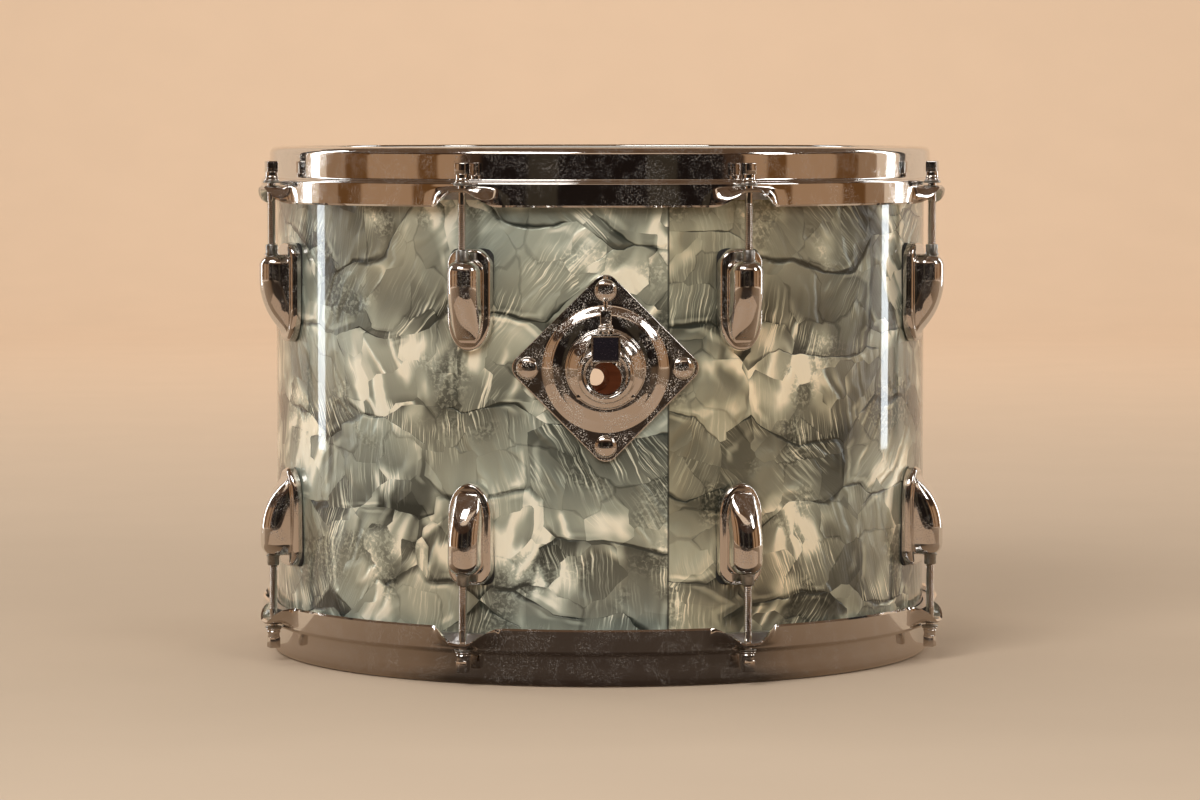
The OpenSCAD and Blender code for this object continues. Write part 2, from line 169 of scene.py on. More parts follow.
def heal(piece, smooth=35, capped=False):
    """Merges doubles, caps open ends, turns the faces outward and smooths all but the sharp edges."""
    deselect()
    bpy.context.view_layer.objects.active = piece
    piece.select_set(True)
    bpy.ops.object.mode_set(mode="EDIT")
    bpy.ops.mesh.select_all(action="SELECT")
    bpy.ops.mesh.remove_doubles(threshold=MERGE_WITHIN)
    bpy.ops.mesh.dissolve_degenerate(threshold=DISSOLVE_UNDER)
    if capped:
        bpy.ops.mesh.select_all(action="SELECT")
        bpy.ops.mesh.fill_holes(sides=0)
        bpy.ops.mesh.select_all(action="SELECT")
    bpy.ops.mesh.normals_make_consistent(inside=False)
    bpy.ops.object.mode_set(mode="OBJECT")
    bpy.ops.object.shade_smooth_by_angle(angle=math.radians(smooth))
    piece.select_set(False)
    return piece


def surface(name, across, along, place, smooth=35, capped=False):
    """A grid whose corner at share (u, v) is carried to place(u, v), in millimetres."""
    deselect()
    bpy.ops.mesh.primitive_grid_add(x_subdivisions=across, y_subdivisions=along, size=1)
    piece = bpy.context.object
    piece.name = piece.data.name = name
    for corner in piece.data.vertices:
        u = round((corner.co.x + 0.5) * across) / across
        v = round((corner.co.y + 0.5) * along) / along
        corner.co = Vector(place(u, v)) * MM
    return heal(piece, smooth, capped)


def spun(name, outline, steps=96, at=(0, 0), smooth=35):
    """A closed outline of (radius, height) points, in millimetres, spun about the vertical line at."""
    deselect()
    bpy.ops.mesh.primitive_circle_add(vertices=len(outline), fill_type="NOTHING")
    piece = bpy.context.object
    piece.name = piece.data.name = name
    for corner, (radius, height) in zip(piece.data.vertices, outline):
        corner.co = Vector((at[0] + radius, at[1], height)) * MM
    bpy.ops.object.mode_set(mode="EDIT")
    bpy.ops.mesh.select_all(action="SELECT")
    bpy.ops.mesh.spin(steps=steps, angle=2 * math.pi, axis=(0, 0, 1), center=(at[0] * MM, at[1] * MM, 0))
    bpy.ops.object.mode_set(mode="OBJECT")
    return heal(piece, smooth)


def block(name, low, high, bevel, segments=3):
    """A box with rounded edges between two corners, in millimetres."""
    deselect()
    low, high = Vector(low), Vector(high)
    bpy.ops.mesh.primitive_cube_add(size=1, location=(low + high) / 2 * MM, scale=(high - low) * MM)
    piece = bpy.context.object
    piece.name = piece.data.name = name
    bpy.ops.object.transform_apply(location=True, rotation=True, scale=True)
    bpy.ops.object.mode_set(mode="EDIT")
    bpy.ops.mesh.select_all(action="SELECT")
    bpy.ops.mesh.bevel(offset=bevel * MM, segments=segments, affect="EDGES")
    bpy.ops.object.mode_set(mode="OBJECT")
    return heal(piece)


def joined(name, *pieces):
    deselect()
    for piece in pieces:
        piece.select_set(True)
    bpy.context.view_layer.objects.active = pieces[0]
    if len(pieces) > 1:
        bpy.ops.object.join()
    pieces[0].name = pieces[0].data.name = name
    return pieces[0]


def cut_away(piece, cutter):
    """Takes a cutter's shape out of a piece, and the cutter out of the scene."""
    deselect()
    piece.select_set(True)
    bpy.context.view_layer.objects.active = piece
    cut = piece.modifiers.new("cut", "BOOLEAN")
    cut.operation = "DIFFERENCE"
    cut.solver = "EXACT"
    cut.object = cutter
    bpy.ops.object.modifier_apply(modifier=cut.name)
    bpy.data.objects.remove(cutter)


def bored(piece, at, radius):
    """Cuts a round hole through a piece along the line from front to back, in millimetres."""
    deselect()
    bpy.ops.mesh.primitive_cylinder_add(vertices=96, radius=radius * MM, depth=BORE_CUT * MM,
                                        location=Vector(at) * MM, rotation=(math.pi / 2, 0, 0))
    cut_away(piece, bpy.context.object)


def cut_box(piece, low, high):
    """Cuts a square pocket between two corners, in millimetres."""
    cut_away(piece, block("cutter", low, high, 0.2))


def carried(piece, matrix):
    """Moves the mesh of a piece and keeps its faces outward."""
    piece.data.transform(matrix)
    if matrix.determinant() < 0:
        piece.data.flip_normals()
    piece.data.update()
    return piece


def copied(piece, name, matrix):
    twin = piece.copy()
    twin.data = piece.data.copy()
    twin.name = twin.data.name = name
    bpy.context.scene.collection.objects.link(twin)
    return carried(twin, matrix)


def dressed(piece, material, slot_name, body, *nodes):
    """Gives a finished piece its material and the body it rides on, and hides the nodes it stands for; its slot
    name is not used.
    """
    piece.data.materials.clear()
    piece.data.materials.append(material)
    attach(piece, body)
    if nodes:
        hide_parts(*nodes)
    return piece


def arc(centre, radius, start, end, count=6):
    """Points on an arc in the (radius, height) plane, angles in degrees."""
    turns = [math.radians(start + (end - start) * k / count) for k in range(count + 1)]
    return [(centre[0] + radius * math.cos(a), centre[1] + radius * math.sin(a)) for a in turns]


def smoothstep(value, low, high):
    share = min(1.0, max(0.0, (value - low) / (high - low)))
    return share * share * (3 - 2 * share)


def lug_turn(index):
    return Matrix.Rotation((index - 0.5) * 2 * math.pi / LUG_COUNT, 4, "Z")


def side_matrix(side):
    return TURNED_OVER if side == "resonant" else Matrix.Identity(4)


# ---- Materials ----


class Recipe:
    """Builds a material's nodes: each call adds a node and returns its first output."""

    def __init__(self, name):
        self.material = bpy.data.materials.new(name)
        self.material.use_nodes = True
        self.tree = self.material.node_tree
        self.shader = self.tree.nodes["Principled BSDF"]

    def add(self, kind, settings=None, out=0, **inputs):
        node = self.tree.nodes.new(kind)
        for key, value in (settings or {}).items():
            setattr(node, key, value)
        for key, value in inputs.items():
            self.feed(node.inputs[int(key[1:])] if key[0] == "i" and key[1:].isdigit() else
                      node.inputs[key.replace("_", " ")], value)
        return node.outputs[out]

    def feed(self, socket, value):
        if isinstance(value, bpy.types.NodeSocket):
            self.tree.links.new(value, socket)
        else:
            socket.default_value = value

    def math(self, operation, a, b=0.0, c=0.0):
        return self.add("ShaderNodeMath", {"operation": operation}, i0=a, i1=b, i2=c)

    def plus(self, a, b):
        return self.math("ADD", a, b)

    def minus(self, a, b):
        return self.math("SUBTRACT", a, b)

    def times(self, a, b):
        return self.math("MULTIPLY", a, b)

    def size(self, a):
        return self.math("ABSOLUTE", a)

    def inverse(self, a):
        """One less the value."""
        return self.math("SUBTRACT", 1.0, a)

    def vector(self, operation, a, b=(0, 0, 0)):
        return self.add("ShaderNodeVectorMath", {"operation": operation}, i0=a, i1=b)

    def scaled(self, a, factor):
        node = self.tree.nodes.new("ShaderNodeVectorMath")
        node.operation = "SCALE"
        self.feed(node.inputs[0], a)
        self.feed(node.inputs["Scale"], factor)
        return node.outputs[0]

    def place(self):
        """Object coordinates in millimetres."""
        return self.scaled(self.add("ShaderNodeTexCoord", out=3), 1 / MM)

    def noise(self, where, scale, detail=2.0, roughness=0.5, distortion=0.0, colour=False):
        return self.add("ShaderNodeTexNoise", out=1 if colour else 0, Vector=where, Scale=scale,
                        Detail=detail, Roughness=roughness, Distortion=distortion)

    def ramp(self, value, *stops):
        node = self.tree.nodes.new("ShaderNodeValToRGB")
        self.feed(node.inputs[0], value)
        bar = node.color_ramp
        while len(bar.elements) < len(stops):
            bar.elements.new(0.5)
        for element, (position, colour) in zip(bar.elements, stops):
            element.position = position
            element.color = (*colour, 1) if len(colour) == 3 else colour
        return node.outputs[0]

    def band(self, value, low, high, to_low=0.0, to_high=1.0):
        """Carries low..high to to_low..to_high and holds it there outside."""
        return self.add("ShaderNodeMapRange", {"interpolation_type": "SMOOTHSTEP"},
                        i0=value, i1=low, i2=high, i3=to_low, i4=to_high)

    def mix(self, share, a, b, blend="MIX"):
        node = self.tree.nodes.new("ShaderNodeMix")
        node.data_type = "RGBA"
        node.blend_type = blend
        self.feed(node.inputs[0], share)
        for socket, value in ((node.inputs[6], a), (node.inputs[7], b)):
            self.feed(socket, (*value, 1) if isinstance(value, tuple) and len(value) == 3 else value)
        return node.outputs[2]

    def bump(self, height, strength, distance, normal=None):
        node = self.tree.nodes.new("ShaderNodeBump")
        node.inputs["Strength"].default_value = strength
        node.inputs["Distance"].default_value = distance
        self.feed(node.inputs["Height"], height)
        if normal is not None:
            self.feed(node.inputs["Normal"], normal)
        return node.outputs[0]

    def finish(self, **sockets):
        for key, value in sockets.items():
            if isinstance(value, tuple) and len(value) == 3:
                value = (*value, 1)
            self.feed(self.shader.inputs[key.replace("_", " ")], value)
        return self.material


def colours():
    return bpy.context.scene.tom_colours


def sizes():
    return bpy.context.scene.tom_sizes


def made_once(make):
    """Keeps the material that make returns, so that every piece shares it."""
    kept = {}

    def get():
        if make.__name__ not in kept:
            kept[make.__name__] = make()
        return kept[make.__name__]

    return get


def split(r, vector):
    """The three parts of a vector."""
    node = r.tree.nodes.new("ShaderNodeSeparateXYZ")
    r.feed(node.inputs[0], vector)
    return node.outputs


def flakes(r, where, size, loose):
    """One layer of roughly square flakes: chances, place within the flake, and distance to its edge."""
    near, far = [r.tree.nodes.new("ShaderNodeTexVoronoi") for _ in range(2)]
    for node, feature in ((near, "F1"), (far, "F2")):
        node.voronoi_dimensions = "2D"
        node.feature = feature
        node.distance = "CHEBYCHEV"
        node.inputs["Scale"].default_value = 1 / size
        node.inputs["Randomness"].default_value = loose
        r.feed(node.inputs["Vector"], where)
    edge = r.times(r.minus(far.outputs["Distance"], near.outputs["Distance"]), size / 2)
    within = r.vector("SUBTRACT", where, near.outputs["Position"])
    return near.outputs["Color"], within, edge


BIG_FLAKE, SMALL_FLAKE = 48.0, 25.0


@made_once
def pearl():
    """Glossy pearl wrap: lapped flakes with fine silky lines, creases between them and a clear coat."""
    r = Recipe("pearl_wrap")
    where = r.place()
    # unroll the cylinder so that the cut falls on the seam
    turned = r.add("ShaderNodeVectorRotate", {"rotation_type": "Z_AXIS"}, Vector=where,
                   Angle=-(math.pi / 2 + sizes().seam_angle))
    x, y, z = split(r, turned)
    around = r.times(r.math("ARCTAN2", y, x), BODY_R)
    flat = r.add("ShaderNodeCombineXYZ", X=around, Y=z, Z=0.0)
    # long waves and a small tremble bend the flakes' outlines
    wave = r.vector("SUBTRACT", r.noise(flat, 0.011, 1.0, colour=True), (0.5, 0.5, 0.5))
    tremble = r.vector("SUBTRACT", r.noise(flat, 0.07, 2.0, colour=True), (0.5, 0.5, 0.5))
    bent = r.vector("ADD", r.vector("ADD", flat, r.vector("MULTIPLY", wave, (24.0, 44.0, 0.0))),
                    r.vector("MULTIPLY", tremble, (4.0, 4.0, 0.0)))
    big, in_big, big_edge = flakes(r, r.vector("MULTIPLY", bent, (0.66, 1.0, 0.0)), BIG_FLAKE, 0.80)
    small, _, small_edge = flakes(r, r.vector("ADD", bent, (13.0, 29.0, 0.0)), SMALL_FLAKE, 0.9)
    chance, tone, turn = split(r, big)
    chance_small, tone_small, turn_small = split(r, small)
    across, up, _ = split(r, in_big)

    # each flake shades from one side to the other
    lean = r.minus(r.times(r.math("ROUND", chance), 2.0), 1.0)
    slope = r.times(r.times(up, lean), 1 / 30.0)
    sideways = r.times(across, r.times(r.minus(tone_small, 0.5), 1 / 30.0))

    # silky lines stand nearly upright and start at one side of a flake
    angle = r.times(r.minus(turn, 0.5), 1.5)
    angle = r.plus(angle, r.times(r.minus(turn_small, 0.5), 0.5))
    laid = r.add("ShaderNodeVectorRotate", {"rotation_type": "Z_AXIS"},
                 Vector=r.vector("ADD", flat, r.scaled(tremble, 4.0)), Angle=angle)
    laid = r.vector("ADD", laid, r.scaled(big, 300.0))
    lines = r.noise(r.vector("MULTIPLY", laid, (0.82, 0.024, 0.0)), 1.0, 3.0, 0.60)
    lined = r.band(lines, 0.48, 0.68)
    started = r.band(r.times(r.times(up, lean), -1.0), -4.0, 15.0)
    patch = r.band(r.noise(r.vector("ADD", bent, (90.0, 10.0, 0.0)), 0.032, 1.0), 0.44, 0.60)
    lined = r.times(lined, r.times(patch, r.plus(0.35, started)))

    # soft folds: ridges of a stretched, stirred noise
    folds = r.noise(r.vector("MULTIPLY", laid, (0.044, 0.017, 0.0)), 1.0, 1.5, 0.5, 0.7)
    off_fold = r.size(r.times(r.minus(folds, 0.5), 5.0))
    ridge = r.inverse(off_fold)
    ridge = r.band(ridge, 0.35, 1.0)
    gleam = r.band(r.noise(bent, 0.021, 2.0), 0.47, 0.68)
    crumple = r.noise(flat, 0.45, 2.0, 0.6, 0.5)
    crumpled = r.times(r.minus(r.band(crumple, 0.44, 0.64), 0.4),
                      r.band(r.noise(bent, 0.026, 1.0), 0.56, 0.66))
    cloud = r.minus(r.noise(flat, 0.017, 2.0), 0.5)

    # painted shade: the wrap is darkened on the drum's right side, where less light falls
    painted_side_shade = r.times(r.band(around, -540.0, -460.0), r.band(around, -330.0, -240.0, 1.0, 0.0))

    # creases: broken dark lines of changing width, with a soft shadow beside them
    width = r.band(r.noise(flat, 0.03, 2.0), 0.40, 0.66, 0.05, 2.3)
    crease = r.inverse(r.band(r.math("DIVIDE", big_edge, width), 0.2, 1.0))
    level_lying = r.minus(r.size(up), r.size(across))
    crease = r.times(crease, r.band(level_lying, -4.0, 6.0, 0.14, 1.0))
    shadow = r.inverse(r.band(big_edge, 0.5, 8.0))
    shadow = r.times(shadow, r.band(r.noise(flat, 0.02, 1.0), 0.46, 0.62))
    width_small = r.band(r.noise(r.vector("ADD", flat, (70.0, 0.0, 0.0)), 0.035, 1.0), 0.48, 0.66, 0.03, 1.5)
    crease_small = r.inverse(r.band(r.math("DIVIDE", small_edge, width_small), 0.2, 1.0))
    glint_ends = r.inverse(r.band(big_edge, 2.6, 4.4))
    glint = r.times(r.band(big_edge, 1.2, 2.2), glint_ends)
    glint = r.times(glint, r.band(r.noise(flat, 0.04, 1.0), 0.50, 0.62))

    level = 0.345
    for share, weight in (
            (r.minus(tone, 0.5), 0.20), (r.minus(chance_small, 0.5), 0.09), (slope, 0.16), (sideways, 0.16),
            (cloud, 0.50), (r.times(ridge, gleam), 0.72), (ridge, 0.06), (lined, 0.50), (crumpled, 0.20),
            (painted_side_shade, -0.08), (crease, -0.36), (shadow, -0.16), (crease_small, -0.10), (glint, 0.22)):
        level = r.plus(level, r.times(share, weight))

    c = colours()
    mid = Vector(c.pearl_mid)
    pearly = r.ramp(level, (0.0, tuple(c.pearl_dark)), (0.20, tuple(mid * 0.42)), (0.38, tuple(mid)),
                    (0.58, tuple(mid * 1.7)), (0.86, tuple(c.pearl_light)))
    tint = r.ramp(r.noise(flat, 0.012, 1.0), (0.38, (0.96, 1.0, 1.0)), (0.62, (1.06, 1.0, 0.90)))
    pearly = r.mix(1.0, pearly, tint, "MULTIPLY")
    # painted light: a warm tint of the light that falls on the drum's right side
    painted_warm_light_side = r.band(around, -560.0, -300.0, 1.0, 0.0)
    painted_warm_light_colour = r.mix(1.0, pearly, (1.08, 0.95, 0.80), "MULTIPLY")
    pearly = r.mix(r.times(painted_warm_light_side, 0.8), pearly, painted_warm_light_colour)
    seam = r.band(r.size(around), math.pi * BODY_R - 0.75, math.pi * BODY_R - 0.35)
    pearly = r.mix(r.times(seam, 0.75), pearly, (0.02, 0.022, 0.018))
    relief = r.plus(r.times(ridge, 1.2), r.times(lines, 0.35))
    relief = r.minus(relief, r.times(crease, 0.5))
    silk = r.bump(relief, 0.5, 0.0014)
    polish = r.bump(r.noise(where, 0.03, 1.0), 0.05, 0.0006)
    return r.finish(Base_Color=pearly, Metallic=0.40, Roughness=0.36, Normal=silk, Coat_Weight=1.0,
                    Coat_Roughness=0.03, Coat_IOR=1.5, Coat_Normal=polish)


def chrome_with(name, pits, wear):
    """Bright chrome with faint swirl, dull specks and pits."""
    r = Recipe(name)
    where = r.place()
    haze = r.noise(where, 0.06, 3.0, 0.6)
    specks = r.noise(where, 1.9, 1.0, 0.5)
    spot = r.band(specks, 0.58, 0.66)
    patch = r.band(r.noise(where, 0.10, 2.0), 0.40, 0.60)
    pitted = r.times(r.times(spot, patch), pits)
    scratches = r.noise(r.vector("MULTIPLY", where, (0.3, 0.3, 5.0)), 1.0, 2.0, 0.7)
    rough = r.plus(r.times(r.band(haze, 0.35, 0.75), 0.045 * wear), 0.028)
    rough = r.plus(rough, r.times(pitted, 0.38))
    rough = r.plus(rough, r.times(r.band(scratches, 0.60, 0.75), 0.05 * wear))
    tone = r.mix(r.times(pitted, 0.8), tuple(colours().chrome), (0.55, 0.48, 0.40))
    plated = r.inverse(r.times(pitted, 0.75))
    dents = r.bump(r.inverse(pitted), 0.25, 0.0001)
    return r.finish(Base_Color=tone, Metallic=plated, Roughness=rough, Normal=dents)


@made_once
def chrome():
    return chrome_with("chrome", 0.25, 1.0)


@made_once
def mount_chrome():
    return chrome_with("chrome_worn", 1.0, 1.6)


@made_once
def cast_chrome():
    return chrome_with("chrome_casting", 0.35, 1.2)


@made_once
def zinc():
    r = Recipe("zinc_plate")
    where = r.place()
    grain = r.noise(where, 0.8, 3.0, 0.6)
    tone = r.ramp(grain, (0.3, (0.36, 0.36, 0.34)), (0.7, (0.56, 0.56, 0.54)))
    return r.finish(Base_Color=tone, Metallic=1.0, Roughness=r.band(grain, 0.3, 0.7, 0.28, 0.45))


@made_once
def satin_aluminium():
    r = Recipe("satin_aluminium")
    grain = r.noise(r.vector("MULTIPLY", r.place(), (0.2, 0.2, 4.0)), 1.0, 3.0, 0.6)
    tone = r.ramp(grain, (0.3, (0.50, 0.50, 0.51)), (0.7, (0.66, 0.66, 0.67)))
    return r.finish(Base_Color=tone, Metallic=1.0, Roughness=0.38, Normal=r.bump(grain, 0.15, 0.0001))


@made_once
def lacquered_wood():
    """Reddish plywood: grain round the drum, plies on the edges."""
    r = Recipe("lacquered_plywood")
    where = r.place()
    x, y, z = split(r, where)
    around = r.times(r.math("ARCTAN2", y, x), BODY_R)
    out = r.math("SQRT", r.plus(r.times(x, x), r.times(y, y)))
    sheet = r.add("ShaderNodeCombineXYZ", X=r.times(around, 0.02),
                  Y=r.times(z, 0.35), Z=out)
    grain = r.noise(sheet, 1.0, 4.0, 0.6, 0.4)
    plies = r.math("SINE", r.times(out, 5.2))
    wood = Vector(colours().wood)
    tone = r.ramp(grain, (0.3, tuple(wood * 0.55)), (0.55, tuple(wood)), (0.75, tuple(wood * 1.5)))
    tone = r.mix(r.band(plies, 0.2, 0.6, 0.0, 0.35), tone, tuple(wood * 0.6))
    return r.finish(Base_Color=tone, Roughness=r.band(grain, 0.3, 0.7, 0.32, 0.48),
                    Normal=r.bump(grain, 0.2, 0.0002), Coat_Weight=0.25, Coat_Roughness=0.15)


@made_once
def coated_film():
    """Coated polyester head with a fine sprayed tooth and faint stick marks."""
    r = Recipe("coated_film")
    where = r.place()
    tooth = r.noise(where, 1.6, 3.0, 0.7)
    worn = r.band(r.noise(where, 0.02, 3.0), 0.35, 0.7)
    film = Vector(colours().film)
    tone = r.mix(worn, tuple(film), tuple(film * 0.95))
    tone = r.mix(r.band(tooth, 0.62, 0.8, 0.0, 0.25), tone, tuple(film * 0.6))
    return r.finish(Base_Color=tone, Roughness=r.band(tooth, 0.3, 0.7, 0.5, 0.68),
                    Normal=r.bump(tooth, 0.25, 0.00015), Subsurface_Weight=0.08)


@made_once
def gasket_rubber():
    r = Recipe("gasket_rubber")
    grain = r.noise(r.place(), 2.5, 2.0)
    return r.finish(Base_Color=r.ramp(grain, (0.3, (0.012, 0.012, 0.012)), (0.7, (0.03, 0.03, 0.028))),
                    Roughness=0.75, Normal=r.bump(grain, 0.2, 0.0001))


@made_once
def nylon():
    r = Recipe("natural_nylon")
    grain = r.noise(r.place(), 0.9, 2.0)
    return r.finish(Base_Color=r.ramp(grain, (0.3, (0.62, 0.60, 0.54)), (0.7, (0.72, 0.70, 0.64))),
                    Roughness=0.45, Subsurface_Weight=0.1)


@made_once
def block_black():
    """The clamp block's hard black face, with dust in its grain."""
    r = Recipe("block_black")
    where = r.place()
    dust = r.band(r.noise(where, 2.2, 2.0), 0.62, 0.8)
    tone = r.mix(dust, (0.010, 0.008, 0.011), (0.06, 0.045, 0.045))
    return r.finish(Base_Color=tone, Roughness=r.band(dust, 0.0, 1.0, 0.16, 0.5),
                    Normal=r.bump(dust, 0.2, 0.0001))


# ---- Wrap ----


class TOM_OT_wrap(bpy.types.Operator):
    """Models the pearl wrap with its lapped seam and cuts the holes for the arm socket and the vent"""

    bl_idname = "tom.wrap"
    bl_label = "Pearl wrap"

    def execute(self, context):
        low, high = WRAP_Z
        lap, raised, thick, ease = math.radians(2.2), 0.28, 0.7, 0.35
        start = sizes().seam_angle - lap

        def place(u, v):
            """u goes round from under the lap to its end; v goes round the sheet's section."""
            turn = start + u * (2 * math.pi + lap)
            over = raised * min(1.0, max(0.0, (u - 0.985) / 0.006))
            loop = [(thick - ease, high), (thick, high - ease), (thick, low + ease), (thick - ease, low),
                    (0.0, low), (0.0, high), (thick - ease, high)]
            out, z = loop[round(v * 6)]
            radius = BODY_R - thick + out + over
            return radius * math.sin(turn), -radius * math.cos(turn), z

        wrap = surface("pearl_wrap_sheet", 540, 6, place, smooth=30, capped=True)
        vent = middle("vent_grommet")
        bored(wrap, (0, -BODY_R, BORE_Z), BORE_R + 4)
        bored(wrap, (0, BODY_R, vent[2]), 6.2)
        dressed(wrap, pearl(), "pearl_wrap", "drum", "pearl_wrap")
        return {"FINISHED"}


# ---- Hoops ----

# How far the hoop's upright wall and its rolled rim stand inside the skirt
WALL_INSET, RIM_INSET = 4.8, 17.2


def flare(distance):
    """How far the skirt is turned out, in radians, at a distance from the nearest rod."""
    s = sizes()
    share = (abs(distance) - s.ear_flat) / s.ear_slant
    if 0 < share < 1:
        share = 1 - (1 - share) ** 1.25
    # rounded where the slant meets the flat ear and the straight skirt
    drop = (share + math.hypot(share, 0.10)) / 2
    drop = 1 - (1 - drop + math.hypot(1 - drop, 0.05)) / 2
    if share > 1.6:
        return 0.0
    fade = 1 - smoothstep(share, 1.15, 1.6)
    return math.acos(min(1.0, max(0.0, drop))) * fade


def skirt_path(turned_out, root, length, bend=2.4, steps=7):
    """Outer line of the skirt from its root: down at rest, curling outward where it is flared."""
    points = [root]
    r, z = root
    for k in range(steps):
        share = (k + 0.5) / steps
        heading = turned_out * share * share * (3 - 2 * share)
        step = bend / steps
        r += math.sin(heading) * step
        z -= math.cos(heading) * step
        points.append((r, z))
    straight = length - bend
    points.append((r + math.sin(turned_out) * straight * 0.5, z - math.cos(turned_out) * straight * 0.5))
    points.append((r + math.sin(turned_out) * straight, z - math.cos(turned_out) * straight))
    return points


def hoop_outline(turned_out):
    """Closed outline of the hoop's steel, from the rolled rim down to the skirt and back inside."""
    steel = sizes().steel
    wall_r = SKIRT_R - WALL_INSET
    rim_in = SKIRT_R - RIM_INSET
    top = HEIGHT
    shoulder = FLESH_TOP + 2.3
    inner_shoulder = FLESH_TOP + 0.3
    half = steel / 2
    outline = arc((rim_in + half, top - half), half, 270, 90, 8)
    outline += [((rim_in + wall_r) / 2, top)]
    outline += arc((wall_r - 4.2, top - 4.2), 4.2, 90, 0, 9)
    outline += [(wall_r, (top + shoulder) / 2)]
    outline += arc((wall_r + 1.5, shoulder + 1.5), 1.5, 180, 270, 5)
    outline += arc((SKIRT_R - 1.7, shoulder - 1.7), 1.7, 90, 0, 6)
    root = (SKIRT_R, shoulder - 1.8)
    length = root[1] - SKIRT_Z
    outer = skirt_path(turned_out, root, length)
    heading = [(0, -1)]
    for first, second in zip(outer, outer[1:]):
        d = Vector((second[0] - first[0], second[1] - first[1])).normalized()
        heading.append((d.x, d.y))
    inner = [(r + steel * h[1], z - steel * h[0]) for (r, z), h in zip(outer, heading)]
    tip = Vector(heading[-1])
    end = ((outer[-1][0] + inner[-1][0]) / 2 + 0.45 * tip.x, (outer[-1][1] + inner[-1][1]) / 2 + 0.45 * tip.y)
    outer[-1] = (outer[-1][0] - 0.5 * tip.x, outer[-1][1] - 0.5 * tip.y)
    inner[-1] = (inner[-1][0] - 0.5 * tip.x, inner[-1][1] - 0.5 * tip.y)
    outline += outer + [end] + inner[::-1]
    inner_wall = wall_r - steel
    outline += [(SKIRT_R - steel, inner_shoulder), (inner_wall, inner_shoulder),
                (inner_wall, top - 5)]
    outline += arc((inner_wall - 2.4, top - steel - 2.4), 2.4, 0, 90, 4)
    return outline


def nearest_rod(turn):
    """Distance along the skirt from a turn about the drum to the nearest rod."""
    gap = 2 * math.pi / LUG_COUNT
    return ((turn / gap) % 1 - 0.5) * gap * SKIRT_R


class TOM_OT_hoops(bpy.types.Operator):
    """Models the two pressed hoops, whose skirts flare out into an ear at every rod"""

    bl_idname = "tom.hoops"
    bl_label = "Hoops"

    def execute(self, context):
        steps = 720
        outlines = {}

        def outline_at(step):
            distance = round(abs(nearest_rod(step / steps * 2 * math.pi)), 3)
            if distance not in outlines:
                points = hoop_outline(flare(distance))
                outlines[distance] = points + points[:1]
            return outlines[distance]

        count = len(hoop_outline(0.0))

        def place(u, v):
            turn = u * 2 * math.pi
            radius, z = outline_at(round(u * steps) % steps)[round(v * count)]
            return radius * math.sin(turn), -radius * math.cos(turn), z

        hoop = surface("hoop", steps, count, place, smooth=40)
        for side in SIDES:
            piece = copied(hoop, side + "_pressed_hoop", side_matrix(side))
            dressed(piece, chrome(), "chrome", side + "_rim", side + "_hoop")
        bpy.data.objects.remove(hoop)
        return {"FINISHED"}


# ---- Heads ----


class TOM_OT_heads(bpy.types.Operator):
    """Models the coated heads, each with its bent collar"""

    bl_idname = "tom.heads"
    bl_label = "Heads"

    def execute(self, context):
        edge = span("batter_head", 0)[1]
        out = span("batter_head_collar", 0)[1]
        low = span("batter_head_collar", 2)[0]
        thick = 0.3
        top = FILM_Z + thick
        outline = [(0, FILM_Z), (edge * 0.5, FILM_Z), (edge - 2, FILM_Z)]
        outline += [(edge, FILM_Z - 0.05), (out - thick, FILM_Z - 7.9), (out - thick, low), (out, low)]
        outline += [(out, FILM_Z - 7.7), (edge + 0.15, top - 0.05), (edge - 2, top),
                    (edge * 0.5, top), (0, top)]
        film = spun("film", outline, steps=240, smooth=25)
        for side in SIDES:
            piece = copied(film, side + "_film", side_matrix(side))
            dressed(piece, coated_film(), "film", "drum", side + "_head", side + "_head_collar")
        bpy.data.objects.remove(film)
        return {"FINISHED"}


# ---- Lugs ----


LUG_BACK = BODY_R + 0.9
BASE_H = 5.2
BASE_EDGE = 2.4
NOSE_END = LUG_Z[1] - 5.9


def lug_base_half(z):
    """Half width of a lug's egg-shaped base at height z."""
    low, high = LUG_Z
    full, corner, tip = 12.0, 8.5, 17.0
    if z < low + tip:
        return full * math.sqrt(max(0.0, 1 - (1 - (z - low) / tip) ** 2))
    if z > high - corner:
        return full - corner + corner * math.sqrt(max(0.0, 1 - ((z - high + corner) / corner) ** 2))
    return full


def nose_shape(z):
    """Half width and reach of a lug's nose above its base's back, at height z."""
    reach = ROD_R + 6.5 - LUG_BACK
    down = NOSE_END - z
    taper = max(0.0, down - 13.0) / 31.0
    tall = reach * max(0.0, 1 - taper ** 2) ** 0.72
    narrow = max(0.0, down - 27.0) / 17.5
    half = sizes().nose_width / 2 * max(0.0, 1 - narrow ** 2) ** 0.55
    return half, tall


def lug_section(z, base_half, base_h, nose_half, nose_h):
    """Half outline across a lug, from the base's edge to the nose's crest: (x, height) points."""
    edge = min(BASE_EDGE, base_half * 0.85, base_h * 0.95)
    points = [(base_half, 0.0), (base_half, (base_h - edge) * 0.5)]
    points += [(base_half - edge + edge * math.cos(a), base_h - edge + edge * math.sin(a))
               for a in (k * math.pi / 12 for k in range(7))]
    rise = max(0.0, nose_h - base_h)
    half = min(nose_half, base_half * 0.86)
    flat_end = base_half - edge
    fillet = min(1.2, max(0.0, flat_end - half), rise)
    points.append(((flat_end + half + fillet) / 2, base_h))
    points += [(half + fillet - fillet * math.sin(a), base_h + fillet - fillet * math.cos(a))
               for a in (k * math.pi / 6 for k in range(4))]
    crown = min(rise - fillet, half * 1.05)
    foot = base_h + rise - crown
    for k in range(15):
        a = k / 14 * math.pi / 2
        points.append((half * max(0.0, math.cos(a)) ** 0.95, foot + crown * math.sin(a)))
    return points


def rounded_base(past):
    """Height of a lug's base, past millimetres beyond the start of its rounded edge."""
    return BASE_H - BASE_EDGE + math.sqrt(max(0.0, BASE_EDGE ** 2 - max(0.0, past) ** 2))


